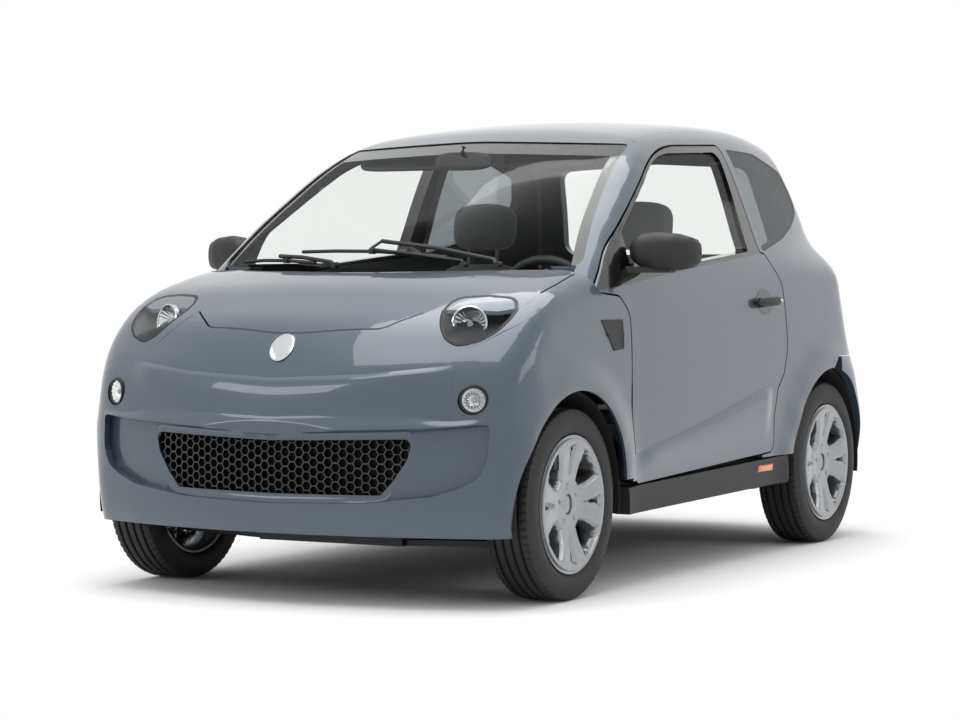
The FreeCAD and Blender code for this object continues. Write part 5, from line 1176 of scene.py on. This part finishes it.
# %% Camera
CAMERA_PLACE, CAMERA_TURN_DEG = (4.4093, -8.1257, 0.9784), (29.1065, -1.9677, 0.1567)
PHOTO_FOCAL_PX = 2774.2
PHOTO_WIDTH_PX = 960
SENSOR_MM = 36.0
camera_data = bpy.data.cameras.new("camera")
camera_data.sensor_width = SENSOR_MM
camera_data.lens = PHOTO_FOCAL_PX / PHOTO_WIDTH_PX * SENSOR_MM
camera = bpy.data.objects.new("camera", camera_data)
bpy.context.scene.collection.objects.link(camera)
yaw, pitch, roll = (math.radians(angle) for angle in CAMERA_TURN_DEG)
camera.matrix_world = (Matrix.Translation(CAMERA_PLACE) @ Matrix.Rotation(yaw, 4, "Z")
                       @ Matrix.Rotation(math.pi / 2 + pitch, 4, "X") @ Matrix.Rotation(-roll, 4, "Z"))
bpy.context.scene.camera = camera
print("camera lens", round(camera_data.lens, 2))

# %% [markdown]
# A studio floor that runs up into the backdrop shows no horizon. Here the floor keeps its shading and the
# car's shadow close by, and fades to the same white as the world further out, so the two meet unseen. Light
# Path tells which ray asks: the camera, reflections and glass see the white, while the light that falls on
# the car comes from a softer sky that is darker towards the horizon.

# %% Floor and world
FADE_START, FADE_END = 0.9, 2.6
SKY_LOW, SKY_HIGH = 0.30, 0.95


def sees_backdrop(tree):
    """1 for rays of the camera, of reflections and through glass, 0 for the light that falls on the car."""
    path = add_node(tree, "ShaderNodeLightPath").outputs
    seen = path["Is Camera Ray"]
    for kind in ("Is Glossy Ray", "Is Transmission Ray"):
        seen = add_node(tree, "ShaderNodeMath", {"operation": "MAXIMUM"}, i0=seen, i1=path[kind]).outputs[0]
    return seen


floor_material, tree = new_material("pale_studio_floor")
lit = add_node(tree, "ShaderNodeBsdfDiffuse", Color=linear("fbfbfb"), Roughness=0.0)
glow = add_node(tree, "ShaderNodeEmission", Color=linear("ffffff"), Strength=1.0)
place = add_node(tree, "ShaderNodeTexCoord").outputs["Object"]
squeezed = add_node(tree, "ShaderNodeVectorMath", {"operation": "MULTIPLY"}, i0=place, i1=(1.0, 0.75, 0.0))
distance = add_node(tree, "ShaderNodeVectorMath", {"operation": "LENGTH"}, i0=squeezed.outputs["Vector"])
far = add_node(tree, "ShaderNodeMapRange", {"interpolation_type": "SMOOTHSTEP"},
               Value=distance.outputs["Value"], From_Min=FADE_START, From_Max=FADE_END)
white_share = add_node(tree, "ShaderNodeMath", {"operation": "MULTIPLY"}, i0=far.outputs["Result"],
                       i1=sees_backdrop(tree))
blend = add_node(tree, "ShaderNodeMixShader", i0=white_share.outputs[0], i1=lit.outputs[0],
                 i2=glow.outputs[0])
add_node(tree, "ShaderNodeOutputMaterial", Surface=blend.outputs["Shader"])
bpy.ops.mesh.primitive_plane_add(size=60, location=(0, 0, 0))
floor = bpy.context.object
floor.name = "floor"
floor.data.materials.append(floor_material)

world = bpy.data.worlds.new("studio")
bpy.context.scene.world = world
world.use_nodes = True
tree = world.node_tree
tree.nodes.clear()
way = add_node(tree, "ShaderNodeTexCoord").outputs["Generated"]
height = add_node(tree, "ShaderNodeSeparateXYZ", Vector=way).outputs["Z"]
sky = add_node(tree, "ShaderNodeMapRange", Value=height, From_Max=0.9, To_Min=SKY_LOW, To_Max=SKY_HIGH)
soft = add_node(tree, "ShaderNodeBackground", Color=linear("ffffff"), Strength=sky.outputs["Result"])
white = add_node(tree, "ShaderNodeBackground", Color=linear("ffffff"), Strength=1.0)
mix = add_node(tree, "ShaderNodeMixShader", i0=sees_backdrop(tree), i1=soft.outputs[0], i2=white.outputs[0])
add_node(tree, "ShaderNodeOutputWorld", Surface=mix.outputs[0])
print("floor fades from", FADE_START, "to", FADE_END)

# %% [markdown]
# Three soft boxes model the body: a long one overhead for the bright band along the bonnet and roof, one
# from the front for the nose, and a weaker one on the car's left. Their size keeps the shadows soft.

# %% Lamps
def area_lamp(name, place, target, size, watts):
    """A soft box at a place, aimed at a target."""
    data = bpy.data.lights.new(name, "AREA")
    data.shape = "RECTANGLE"
    data.size, data.size_y = size
    data.energy = watts
    box = bpy.data.objects.new(name, data)
    bpy.context.scene.collection.objects.link(box)
    way = Vector(target) - Vector(place)
    box.matrix_world = Matrix.Translation(place) @ way.to_track_quat("-Z", "Y").to_matrix().to_4x4()


area_lamp("top_box", (0.0, -0.5, 4.6), (0, 0, 0.5), (3.2, 6), 170)
area_lamp("front_box", (-3.5, -6.5, 3.2), (0, -1, 0.6), (3, 1.6), 50)
area_lamp("side_box", (6.0, 0.5, 2.6), (0.5, 0, 0.6), (5, 1.2), 35)
bpy.context.scene.view_settings.view_transform = "Standard"
print("lamps set")
